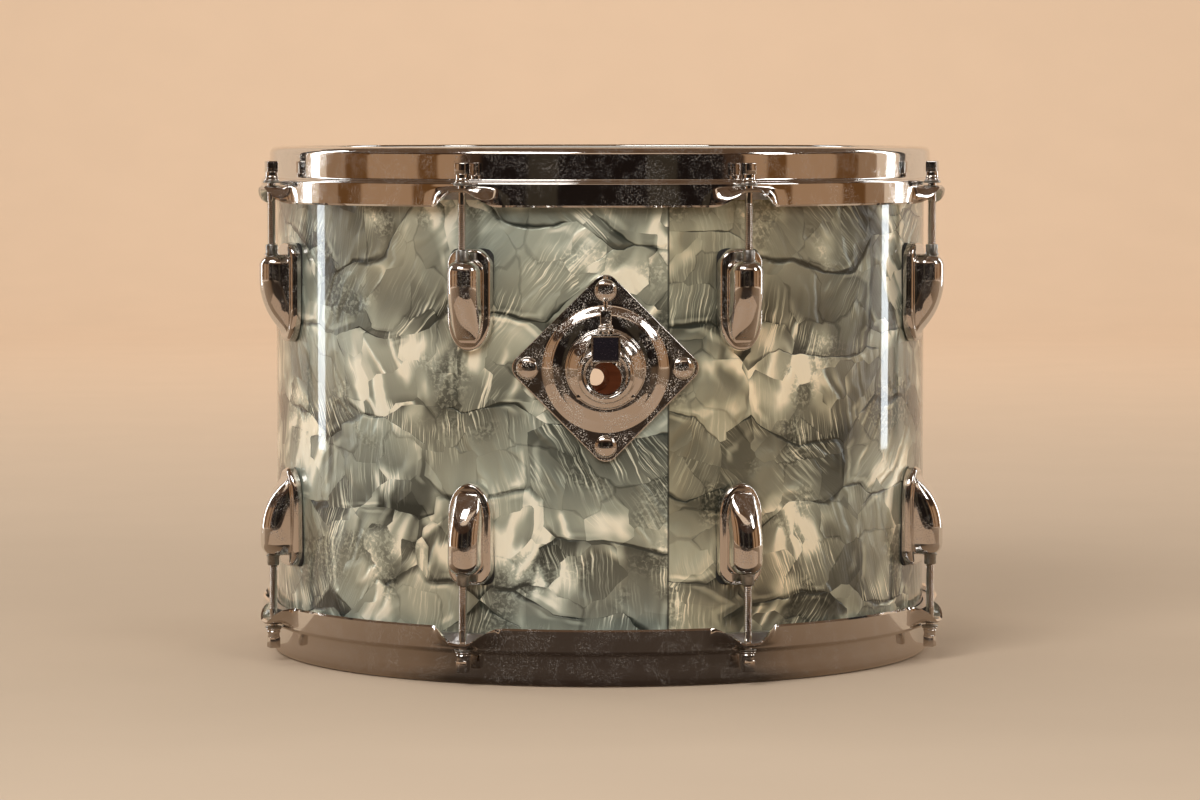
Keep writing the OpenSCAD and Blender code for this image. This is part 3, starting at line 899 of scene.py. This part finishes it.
def lug_sections():
    """Every section of a lug from its tip to its rod end."""
    low, high = LUG_Z
    end = NOSE_END
    sections = []
    shares = [0.5 - 0.5 * math.cos(math.pi * k / 40) for k in range(41)]
    soft = 6.4
    for share in shares:
        z = low + 0.02 + share * (end - soft - low)
        half, tall = nose_shape(z)
        base_h = rounded_base(low + BASE_EDGE - z)
        sections.append((z, lug_base_half(z), base_h, half, tall))
    sections.insert(0, (low, sections[0][1], 0.02, sections[0][3], 0.02))
    half, tall = nose_shape(end - soft)
    for k in range(1, 12):
        a = k / 11 * math.pi / 2
        z = end - soft + soft * math.sin(a)
        shrink = soft * (1 - math.cos(a))
        sections.append((z, lug_base_half(z), BASE_H, half - shrink, tall - shrink))
    for k in range(1, 5):
        lower = BASE_H + (tall - soft - BASE_H) * (1 - k / 4)
        sections.append((end + 0.02 * k, lug_base_half(end), BASE_H, half - soft, lower))
    for k in range(1, 13):
        share = math.sin(k / 12 * math.pi / 2)
        z = end + 0.1 + share * (high - end - 0.1)
        height = rounded_base(z - (high - BASE_EDGE))
        sections.append((z, lug_base_half(z), height, half - soft, height))
    last = sections[-1]
    sections.append((high, last[1], 0.02, last[3], 0.02))
    return sections


def on_body(x, height, z):
    """A point height above the lug's back, which follows the drum's curve."""
    return x, -(math.sqrt(LUG_BACK ** 2 - x * x) + height), z


class TOM_OT_lugs(bpy.types.Operator):
    """Models one lug casing, an egg-shaped base with a bullet nose, and copies it to every rod"""

    bl_idname = "tom.lugs"
    bl_label = "Lugs"

    def execute(self, context):
        rows = []
        for section in lug_sections():
            half = lug_section(*section)
            row = [(x, h, section[0]) for x, h in half]
            row += [(-x, h, section[0]) for x, h in half[-2::-1]]
            wide = half[0][0]
            row += [(-wide + 2 * wide * k / 8, 0.0, section[0]) for k in range(1, 9)]
            rows.append(row)
        around = len(rows[0]) - 1

        def place(u, v):
            return on_body(*rows[round(v * (len(rows) - 1))][round(u * around)])

        lug = surface("lug", around, len(rows) - 1, place, smooth=50, capped=True)
        for side in SIDES:
            for index in range(1, LUG_COUNT + 1):
                piece = copied(lug, f"{side}_lug_casing_{index}", side_matrix(side) @ lug_turn(index))
                dressed(piece, cast_chrome(), "chrome_casting", "drum", f"lug_{side}_{index}")
        bpy.data.objects.remove(lug)
        return {"FINISHED"}


# ---- Rods, washers and nuts ----


def rod_shank():
    """The threaded shank with its plain neck."""
    s = sizes()
    low, high = ROD_Z[0], WASHER_Z[1] + 0.6
    thread_low, thread_high = NUT_TOP - 8, WASHER_Z[0] - 9.5
    crest, plain = 2.38, 2.15
    per_turn = 8
    along = round((thread_high - thread_low) / s.thread_pitch * per_turn)
    rows = [(low, 0.0), (low, plain - 0.5), (low + 0.5, plain), (thread_low - 0.3, plain)]
    rows += [(thread_low + k * s.thread_pitch / per_turn, None) for k in range(along + 1)]
    rows += [(rows[-1][0] + 0.4, plain), (high, plain), (high, 0.0)]

    def place(u, v):
        z, radius = rows[round(v * (len(rows) - 1))]
        turn = u * 2 * math.pi
        if radius is None:
            phase = (z / s.thread_pitch - u) % 1
            radius = crest - s.thread_depth * min(1.0, max(0.0, 2.3 * abs(phase - 0.5) - 0.1))
        return radius * math.cos(turn), radius * math.sin(turn) - ROD_R, z

    return surface("shank", 20, len(rows) - 1, place, smooth=25)


def rod_head():
    """Flared collar and square key head."""
    base, top = WASHER_Z[1] + 0.05, ROD_Z[1]
    collar_top = top - 5.4
    collar = [(0, base), (3.9, base)] + arc((3.8, base + 0.45), 0.35, -60, 60, 4)
    collar += [(3.55, base + 0.95), (3.45, base + 1.35)]
    collar += arc((5.6, base + 3.4), 2.45, 220, 180, 5)
    collar += arc((2.55, collar_top - 0.75), 0.75, 10, 90, 4) + [(0, collar_top)]
    foot = spun("collar", collar, steps=40, at=(0, -ROD_R))
    half = 2.9
    key = block("key", (-half, -ROD_R - half, collar_top - 0.8), (half, -ROD_R + half, top), 0.55, 3)
    return foot, key


def washer_piece():
    low, high = WASHER_Z
    outline = [(2.6, low), (4.3, low), (4.48, low + 0.25), (4.48, high - 0.3), (4.25, high), (2.6, high)]
    return spun("washer", outline, steps=40, at=(0, -ROD_R))


def nut_piece():
    """The swivel nut's collar, which stands out of the lug's nose."""
    low, high = LUG_Z[1] - 7.5, NUT_TOP
    outline = [(2.46, low), (3.22, low), (3.22, high - 0.45), (2.95, high), (2.46, high)]
    nut = spun("nut", outline, steps=40, at=(0, -ROD_R))
    ring_z = NOSE_END
    ring = [(3.2, ring_z - 0.3), (3.75, ring_z - 0.3), (3.75, ring_z + 0.25),
            (3.55, ring_z + 0.45), (3.2, ring_z + 0.45)]
    return joined("nut", nut, spun("nut_ring", ring, steps=40, at=(0, -ROD_R)))


class TOM_OT_rods(bpy.types.Operator):
    """Models one tension rod with a real thread and copies it, with its washer and nut, to every lug"""

    bl_idname = "tom.rods"
    bl_label = "Tension rods"

    def execute(self, context):
        rod = joined("rod", rod_shank(), *rod_head())
        washer, nut = washer_piece(), nut_piece()
        nuts = []
        for side in SIDES:
            washers = []
            for index in range(1, LUG_COUNT + 1):
                matrix = side_matrix(side) @ lug_turn(index)
                piece = copied(rod, f"{side}_rod_{index}", matrix)
                dressed(piece, chrome(), "chrome", f"rod_{side}_{index}", f"tension_rod_{side}_{index}")
                washers.append(copied(washer, "washer_copy", matrix))
                nuts.append(copied(nut, "nut_copy", matrix))
            washer_set = joined(side + "_rod_washers", *washers)
            dressed(washer_set, zinc(), "zinc_steel", side + "_rim", side + "_washers")
        dressed(joined("nut_collars", *nuts), zinc(), "zinc_steel", "drum", "swivel_nuts")
        for master in (rod, washer, nut):
            bpy.data.objects.remove(master)
        return {"FINISHED"}


# ---- Arm mount ----


LIP_Z = BORE_Z + 1.8
PLATE_T = 2.2
DOME_R = 33.0
HUB_R = 20.8


def diamond_reach(turn, half, corner=7.0):
    """Distance from the plate's centre to its rounded diamond edge."""
    flat = (half - corner) / math.sqrt(2)
    dx, dz = math.sin(turn), math.cos(turn)
    a, b = abs(dx + dz) / math.sqrt(2), abs(dx - dz) / math.sqrt(2)
    near, far = 0.0, half * 1.2
    for _ in range(26):
        reach = (near + far) / 2
        qa, qb = max(a * reach - flat, 0.0), max(b * reach - flat, 0.0)
        inside = math.hypot(qa, qb) < corner
        near, far = (reach, far) if inside else (near, reach)
    return near


def plate_height(x, z):
    """Height of the mount's face above the drum at a place measured from the plate's centre."""
    reach = math.hypot(x, z)
    # round dome with a soft roll at its foot
    dome = PLATE_T + 2.9 * smoothstep(DOME_R - reach, 0.0, 6.5) + 0.8 * smoothstep(DOME_R - reach, 5.0, 12.0)
    # hub that rises to the lip round the socket
    from_lip = math.hypot(x, z - (LIP_Z - MOUNT_Z))
    hub = 5.6 + 1.2 * smoothstep(HUB_R - reach, 0.0, 1.2) + 3.9 * smoothstep(HUB_R - reach, 0.8, 8.0)
    height = dome if reach > HUB_R else max(dome, hub)
    height = max(height, 12.4 * smoothstep(14.6 - from_lip, 0.0, 1.2))
    # saddle that runs up from the lip on both sides of the block and the key screw
    up = z - (LIP_Z - MOUNT_Z)
    if up > 0:
        centre = max(0.0, 11.2 - 0.016 * up ** 2)
        width = 3.4 * (1 - 0.6 * smoothstep(up, 8, 34))
        beside = smoothstep(abs(abs(x) - centre), width * 0.35, width)
        rib = (11.8 - 8.2 * smoothstep(up, 14, 34)) * (1 - beside)
        height = max(height, rib)
        # trough for the key screw between the two ribs
        if abs(x) < centre and up > 20.5:
            floor = 3.0 + 1.4 * smoothstep(abs(x), 1.0, max(1.5, centre))
            height = height + (floor - height) * smoothstep(centre - abs(x), 0.5, 2.6)
        # pocket for the clamp block
        if abs(x) < 7.4 and up < 20.4:
            height = min(height, 4.6)
    return height


class TOM_OT_mount(bpy.types.Operator):
    """Models the diamond mount plate with its dome, the socket, clamp block, key screw and fixings"""

    bl_idname = "tom.mount"
    bl_label = "Arm mount"

    def execute(self, context):
        self.plate()
        self.socket()
        self.clamp()
        self.fixings()
        return {"FINISHED"}

    def plate(self):
        inner, outer_steps = 14.2, 84
        around = 360
        lip_drop = LIP_Z - MOUNT_Z
        reaches = [diamond_reach(2 * math.pi * k / around, PLATE_HALF) for k in range(around)]
        # the face, its turned edge, the back, and the hole's wall up to the face again
        edge = [(0.9, 0.0), (0.55, 0.0), (0.25, -0.18), (0.06, -0.55), (0.0, -1.0), (0.0, -1.9), (0.5, -2.1)]
        last_row = outer_steps + len(edge) + 2

        def place(u, v):
            k = round(u * around) % around
            turn = 2 * math.pi * k / around
            row = round(v * last_row) % last_row
            reach = reaches[k]
            dx, dz = math.sin(turn), math.cos(turn)
            if row <= outer_steps:
                share = row / outer_steps
                start_x, start_z = inner * dx, lip_drop + inner * dz
                x = start_x + (dx * (reach - 0.9) - start_x) * share
                z = start_z + (dz * (reach - 0.9) - start_z) * share
                height = plate_height(x, z)
            elif row <= outer_steps + len(edge):
                inset, drop = edge[row - outer_steps - 1]
                x, z = dx * (reach - inset), dz * (reach - inset)
                height = PLATE_T + drop
            else:
                x, z, height = inner * dx, lip_drop + inner * dz, 0.1
            return x, -(math.sqrt((BODY_R + 0.1) ** 2 - x * x) + height), z + MOUNT_Z

        plate = surface("mount_face", around, last_row, place, smooth=50)
        dressed(plate, mount_chrome(), "chrome", "drum", "mount_plate")

    def socket(self):
        """Rolled lip and bore, drawn about the bore's own axis and turned out of the front."""
        out = -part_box("mount_socket")[0].y / MM
        back = BODY_R + 2.4
        lip = [(BORE_R + 0.02, back), (14.6, back), (14.6, out - 2.6)]
        lip += arc((13.0, out - 2.2), 1.6, 0, 60, 4)
        lip += arc((11.9, out - 1.3), 1.3, 60, 170, 8)
        lip += [(10.3, out - 1.9), (BORE_R + 0.5, out - 2.1), (BORE_R + 0.02, out - 2.6)]
        shift = LIP_Z - BORE_Z
        ring = spun("socket_lip", lip, steps=128)
        for corner in ring.data.vertices:
            radius = math.hypot(corner.co.x, corner.co.y) / MM
            corner.co.y += shift * smoothstep(radius, BORE_R + 0.3, 10.3) * MM
        carried(ring, Matrix.Translation((0, 0, BORE_Z * MM)) @ OUT_OF_FRONT)
        slot_half = (BLOCK[1][1] - BLOCK[1][0]) / 2 + 0.9
        # the notch leaves room for the block at the end of its travel
        cut_box(ring, (-slot_half, -out - 3, BLOCK[1][0] - 2.2),
                (slot_half, BLOCK[0][1] + 0.5, BLOCK[1][1] + 3))
        dressed(ring, mount_chrome(), "chrome_casting", "drum", "mount_socket")

    def clamp(self):
        (near, far), (low, high) = (-BLOCK[0][1], -BLOCK[0][0]), BLOCK[1]
        half = (high - low) / 2
        body = block("press_block", (-half, -far, low), (half, -near, high), 0.35)
        lip = block("press_block_lip", (-half - 0.2, -far - 0.35, low + 0.05),
                    (half + 0.2, -near - 3, low + 1.0), 0.25)
        dressed(lip, mount_chrome(), "chrome", "arm_clamp")
        dressed(body, block_black(), "clamp_plastic", "arm_clamp", "clamp_block")
        frame_bars = []
        wide = 0.8
        front, back = -far - 0.5, -near
        for side in (-1, 1):
            left = side * (half + 0.12 + wide / 2)
            frame_bars.append(block("bar", (left - wide / 2, front, low - 1.5),
                                    (left + wide / 2, back, high + 0.9), 0.3))
        frame_bars.append(block("bar", (-half - 0.9, front, high + 0.12),
                                (half + 0.9, back, high + 1.7), 0.35))
        dressed(joined("block_frame", *frame_bars), mount_chrome(), "chrome_casting", "drum")
        low, high = KEY_Z
        collar_z, head_z = high - 7 - 3.4, high - 7
        outline = [(0, low), (2.45, low), (2.45, collar_z - 0.6), (3.4, collar_z), (4.4, collar_z)]
        outline += arc((4.3, collar_z + 0.4), 0.38, -60, 60, 4)
        outline += [(3.9, collar_z + 0.95), (3.9, collar_z + 1.3)]
        outline += arc((3.55, collar_z + 1.8), 0.45, -30, 70, 4)
        outline += [(3.1, head_z - 0.6), (2.9, head_z), (0, head_z)]
        shank = spun("key_shank", outline, steps=48, at=(0, -KEY_AT))
        key = block("key_head", (-2.9, -KEY_AT - 2.9, head_z - 0.7), (2.9, -KEY_AT + 2.9, high), 0.6, 3)
        dressed(joined("key_screw_piece", shank, key), mount_chrome(), "chrome", "clamp_key", "key_screw")

    def fixings(self):
        """Four dome-head screws, square to the drum at their own places, and two peened rivets."""
        at = PLATE_HALF - 8
        seat = BODY_R + 2.25
        turn = math.asin(at / seat)
        outline = [(0, seat - 6), (2.3, seat - 6), (2.3, seat - 0.1), (5.6, seat - 0.1), (5.75, seat + 0.25)]
        turns = [k * math.pi / 20 for k in range(10)]
        outline += [(5.8 * math.cos(a), seat + 0.5 + 2.7 * math.sin(a)) for a in turns]
        outline.append((0, seat + 3.2))
        places = [(math.copysign(turn, s), 0.0) for s in (-1, 1)] + [(0.0, -at), (0.0, at)]
        heads = []
        for side_turn, rise in places:
            head = spun("screw_head", outline, steps=48)
            matrix = Matrix.Rotation(side_turn, 4, "Z") @ Matrix.Translation((0, 0, (MOUNT_Z + rise) * MM))
            heads.append(carried(head, matrix @ OUT_OF_FRONT))
        dressed(joined("mount_dome_screws", *heads), mount_chrome(), "chrome", "drum", "mount_screws")
        rivets = []
        for side in (-1, 1):
            x, z = side * 13.6, MOUNT_Z - 14.2
            out = math.sqrt(BODY_R ** 2 - x * x) + plate_height(x, z - MOUNT_Z)
            dome = [(0, out - 2), (1.5, out - 2), (1.5, out - 0.25), (1.2, out + 0.2),
                    (0.6, out + 0.35), (0, out + 0.4)]
            rivet = spun("rivet", dome, steps=24)
            rivets.append(carried(rivet, Matrix.Translation((x * MM, 0, z * MM)) @ OUT_OF_FRONT))
        dressed(joined("socket_rivets", *rivets), mount_chrome(), "chrome_casting", "drum")


# ---- Carried-over pieces ----


class TOM_OT_hardware(bpy.types.Operator):
    """Gives the pieces that keep their measured shape their real finish"""

    bl_idname = "tom.hardware"
    bl_label = "Wood and small hardware"

    def execute(self, context):
        finishes = {
            "wood": lacquered_wood, "aluminium": satin_aluminium, "zinc_steel": zinc,
            "gasket_rubber": gasket_rubber, "nylon": nylon, "chrome": chrome,
            "chrome_casting": cast_chrome, "film": coated_film,
            "pearl_wrap": pearl, "clamp_plastic": block_black,
        }
        for part in frame["record"]["subparts"]:
            node = frame["nodes"][part["node"]]
            if node.hide_render:
                continue
            node.data.materials.clear()
            node.data.materials.append(finishes[part["material_slot"]]())
        return {"FINISHED"}


# ---- Stage ----


BEYOND = (0.72, 0.54, 0.39)
DRUM_MIDDLE = (0, 0, 0.14)
CAMERA_AT = (-0.0363, -2.2965, 0.2879)
CAMERA_AIM = (0, 0, 0.1354)
LENS, SENSOR = 125.1, 36.0


def seen_or_mirrored(tree):
    """1 for rays from the camera, a mirror or glass, and 0 for the rays that light the drum."""
    path = tree.nodes.new("ShaderNodeLightPath")
    seen = path.outputs["Is Camera Ray"]
    for kind in ("Is Glossy Ray", "Is Transmission Ray"):
        either = tree.nodes.new("ShaderNodeMath")
        either.operation = "MAXIMUM"
        tree.links.new(seen, either.inputs[0])
        tree.links.new(path.outputs[kind], either.inputs[1])
        seen = either.outputs[0]
    return seen


def sweep_paint():
    """Pale paper that runs from the floor up into the backdrop, and melts into the world to the sides."""
    r = Recipe("sweep_paper")
    x, y, z = split(r, r.place())
    c = colours()
    tone = r.mix(r.band(y, 150.0, 3300.0), tuple(c.floor), tuple(c.backdrop))
    grain = r.noise(r.place(), 0.01, 2.0)
    tone = r.mix(1.0, tone, r.ramp(grain, (0.3, (0.98, 0.98, 0.98)), (0.7, (1.0, 1.0, 1.0))), "MULTIPLY")
    aside = r.band(r.size(x), 1100.0, 2600.0)
    ahead = r.band(y, -2500.0, -850.0, 1.0, 0.0)
    far = r.times(r.math("MAXIMUM", aside, ahead), seen_or_mirrored(r.tree))
    return r.finish(Base_Color=r.mix(far, tone, (0.0, 0.0, 0.0)), Roughness=0.9, Specular_IOR_Level=0.0,
                    Emission_Color=BEYOND, Emission_Strength=far)


def glowing(name, colour, strength):
    r = Recipe(name)
    return r.finish(Base_Color=(0.0, 0.0, 0.0), Emission_Color=colour, Emission_Strength=strength)


def soft_lamp(name, place, target, size, watts, colour=(1.0, 0.98, 0.95)):
    """An area lamp that lights the drum but isn't mirrored in its chrome."""
    data = bpy.data.lights.new(name, "AREA")
    data.shape = "RECTANGLE"
    data.size, data.size_y = size
    data.energy = watts
    data.color = colour
    lamp = bpy.data.objects.new(name, data)
    bpy.context.scene.collection.objects.link(lamp)
    lamp.location = place
    lamp.rotation_euler = (Vector(target) - Vector(place)).to_track_quat("-Z", "Y").to_euler()
    lamp.visible_glossy = False
    return lamp


def mirrored_only(card):
    """Leaves a card to reflections: it gives the chrome and the gloss something to show."""
    card.visible_camera = False
    card.visible_diffuse = False
    card.visible_shadow = False


def polar(azimuth, elevation, distance, above=0.14):
    """A place in metres seen from the drum: azimuth from the front toward +X, in degrees."""
    a, e = math.radians(azimuth), math.radians(elevation)
    toward = Vector((math.sin(a) * math.cos(e), -math.cos(a) * math.cos(e), math.sin(e)))
    return toward * distance + Vector((0, 0, above))


def card_at(name, azimuth, elevation, distance, size, material, above=0.14):
    deselect()
    place = polar(azimuth, elevation, distance, above)
    aim = (Vector((0, 0, above)) - place).to_track_quat("Z", "Y").to_euler()
    bpy.ops.mesh.primitive_plane_add(size=1, location=place, rotation=aim)
    card = bpy.context.object
    card.name = name
    card.scale = (*size, 1)
    card.data.materials.append(material)
    mirrored_only(card)


def room_paint():
    """Dark in front of the drum, with brown panels and darker posts to either side."""
    r = Recipe("room")
    x, y, z = split(r, r.place())
    turn = r.size(r.math("ARCTAN2", x, r.times(y, -1.0)))
    share = r.math("DIVIDE", turn, math.radians(120))
    dark, post, panel = (0.008, 0.005, 0.004), (0.13, 0.055, 0.016), (0.36, 0.21, 0.115)
    olive, shade, far_panel = (0.034, 0.026, 0.017), (0.05, 0.026, 0.014), tuple(Vector(panel) * 0.8)
    stops = ((0.0, dark), (14, dark), (15, olive), (24, olive), (25, dark), (40, dark), (41.5, shade),
             (47.5, shade), (48.5, panel), (56, panel), (57, post), (63.5, post), (64.5, panel),
             (85, panel), (86, post), (96, post), (97, far_panel), (120, far_panel))
    tone = r.ramp(share, *((degrees / 120, colour) for degrees, colour in stops))
    high = r.band(z, 1350.0, 1500.0)
    tone = r.mix(high, tone, (0.045, 0.022, 0.012))
    return r.finish(Base_Color=(0.0, 0.0, 0.0), Emission_Color=tone, Emission_Strength=1.0, Roughness=1.0)


def dark_floor_paint():
    """Dark in front of the drum, browner to either side."""
    r = Recipe("dark_floor")
    x, y, z = split(r, r.place())
    turn = r.size(r.math("ARCTAN2", x, r.times(y, -1.0)))
    tone = r.ramp(r.math("DIVIDE", turn, math.pi),
                  (0.0, (0.024, 0.014, 0.009)), (0.15, (0.028, 0.017, 0.010)),
                  (0.22, (0.15, 0.09, 0.05)), (0.50, (0.30, 0.20, 0.125)))
    return r.finish(Base_Color=(0.0, 0.0, 0.0), Emission_Color=tone, Emission_Strength=1.0, Roughness=1.0)


class TOM_OT_stage(bpy.types.Operator):
    """Sets the plain floor, the backdrop, the soft lamps, the reflecting cards and the camera"""

    bl_idname = "tom.stage"
    bl_label = "Stage"

    def execute(self, context):
        c = colours()
        deselect()
        bend, wall_y, wall_z = 1500.0, 4800.0, 5200.0
        flat_to = wall_y - bend

        def sweep_at(u, v):
            """v runs along the floor, round the bend and up the wall."""
            run = v * 24
            if run <= 8:
                y, z = -6000 + (6000 + flat_to) * run / 8, 0.0
            elif run <= 20:
                a = (run - 8) / 12 * math.pi / 2
                y, z = flat_to + bend * math.sin(a), bend * (1 - math.cos(a))
            else:
                y, z = wall_y, bend + (wall_z - bend) * (run - 20) / 4
            return 16000 * (u - 0.5), y, z - 0.2

        sweep = surface("sweep", 8, 24, sweep_at)
        sweep.data.materials.append(sweep_paint())
        self.cards()
        self.lamps()
        self.world(context)
        self.camera(context)
        return {"FINISHED"}

    def cards(self):
        def room_wall(u, v):
            turn = math.radians(-107 + 214 * u)
            return 3600 * math.sin(turn), -3600 * math.cos(turn), 2400 * v

        room = surface("room_wall", 96, 1, room_wall)
        room.data.materials.append(room_paint())
        mirrored_only(room)
        brown = glowing("ceiling", (0.10, 0.055, 0.030), 1.0)
        card_at("ceiling", 0, 90, 2.3, (7.0, 5.0), brown)
        rug = surface("dark_floor", 4, 4, lambda u, v: (5000 * (u - 0.5), -3400 + 3390 * v, 0.4))
        rug.data.materials.append(dark_floor_paint())
        mirrored_only(rug)
        # what the mount's dome and the lower lugs mirror from just in front of the drum
        tan = glowing("tan_card", (0.40, 0.27, 0.175), 1.0)
        just_over_hoop = HEIGHT - SKIRT_Z + 3
        card = surface("tan_card", 4, 4, lambda u, v: (900 * (u - 0.5), -620 + 415 * v, just_over_hoop))
        card.data.materials.append(tan)
        mirrored_only(card)
        strip = glowing("strip", (0.90, 0.96, 1.0), 7.0)
        black = glowing("post", (0.006, 0.005, 0.005), 1.0)
        for turn in (-110.5, 113):
            card_at("strip", turn, 14, 1.5, (0.13, 1.3), strip)
            card_at("post", math.copysign(abs(turn) + 9, turn), 14, 1.6, (0.13, 1.5), black)
        box = glowing("softbox", (1.0, 0.98, 0.95), 6.0)
        card_at("softbox", -32, 46, 1.9, (1.0, 0.45), box)
        card_at("softbox_right", 62, 30, 1.9, (0.34, 0.55), box)

    def lamps(self):
        soft_lamp("lamp_key", (-0.9, -1.9, 1.4), DRUM_MIDDLE, (1.2, 1.0), 38)
        soft_lamp("lamp_fill", (1.3, -1.7, 1.0), DRUM_MIDDLE, (1.0, 1.0), 13)
        soft_lamp("lamp_back_left", (-1.5, 0.9, 1.1), DRUM_MIDDLE, (0.6, 1.0), 5)
        soft_lamp("lamp_back_right", (1.5, 0.9, 1.1), DRUM_MIDDLE, (0.6, 1.0), 3)
        soft_lamp("lamp_inside", (0, 0, 0.2), (0, 0, 0), (0.2, 0.2), 0.22, (1.0, 0.8, 0.6))
        soft_lamp("lamp_backdrop", (0.0, 2.0, 3.2), (0, 4.6, 0.6), (4.0, 1.0), 100)

    def world(self, context):
        world = bpy.data.worlds.new("studio")
        context.scene.world = world
        world.use_nodes = True
        tree = world.node_tree
        background = tree.nodes["Background"]
        tone = tree.nodes.new("ShaderNodeMix")
        tone.data_type = "RGBA"
        tone.inputs[6].default_value = (0.42, 0.41, 0.39, 1)
        tone.inputs[7].default_value = (*BEYOND, 1)
        tree.links.new(seen_or_mirrored(tree), tone.inputs[0])
        tree.links.new(tone.outputs[2], background.inputs["Color"])
        context.scene.view_settings.view_transform = "Standard"

    def camera(self, context):
        data = bpy.data.cameras.new("camera")
        camera = bpy.data.objects.new("camera", data)
        context.scene.collection.objects.link(camera)
        camera.location = CAMERA_AT
        camera.rotation_euler = (Vector(CAMERA_AIM) - camera.location).to_track_quat("-Z", "Y").to_euler()
        data.lens = LENS
        data.sensor_width = SENSOR
        context.scene.camera = camera


# ---- Panel and registration ----


STEPS = (TOM_OT_stage, TOM_OT_wrap, TOM_OT_hoops, TOM_OT_heads, TOM_OT_lugs, TOM_OT_rods, TOM_OT_mount,
         TOM_OT_hardware)


class TOM_PT_panel(bpy.types.Panel):
    """Lists the drum's sizes, colours and steps"""

    bl_label = "Rack tom drum"
    bl_idname = "TOM_PT_panel"
    bl_space_type = "VIEW_3D"
    bl_region_type = "UI"
    bl_category = "Tom"

    def draw(self, context):
        for group in (context.scene.tom_sizes, context.scene.tom_colours):
            box = self.layout.box()
            for name in group.__annotations__:
                box.prop(group, name)
        for step in STEPS:
            self.layout.operator(step.bl_idname)


CLASSES = (TomSizes, TomColours, *STEPS, TOM_PT_panel)


def register():
    for cls in CLASSES:
        bpy.utils.register_class(cls)
    bpy.types.Scene.tom_sizes = bpy.props.PointerProperty(type=TomSizes)
    bpy.types.Scene.tom_colours = bpy.props.PointerProperty(type=TomColours)


def unregister():
    del bpy.types.Scene.tom_colours
    del bpy.types.Scene.tom_sizes
    for cls in reversed(CLASSES):
        bpy.utils.unregister_class(cls)


def main():
    register()
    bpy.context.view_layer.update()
    for step in STEPS:
        family, name = step.bl_idname.split(".")
        result = getattr(getattr(bpy.ops, family), name)()
        if "FINISHED" not in result:
            raise RuntimeError(step.bl_label + " didn't finish")
    deselect()


if __name__ == "__main__":
    main()
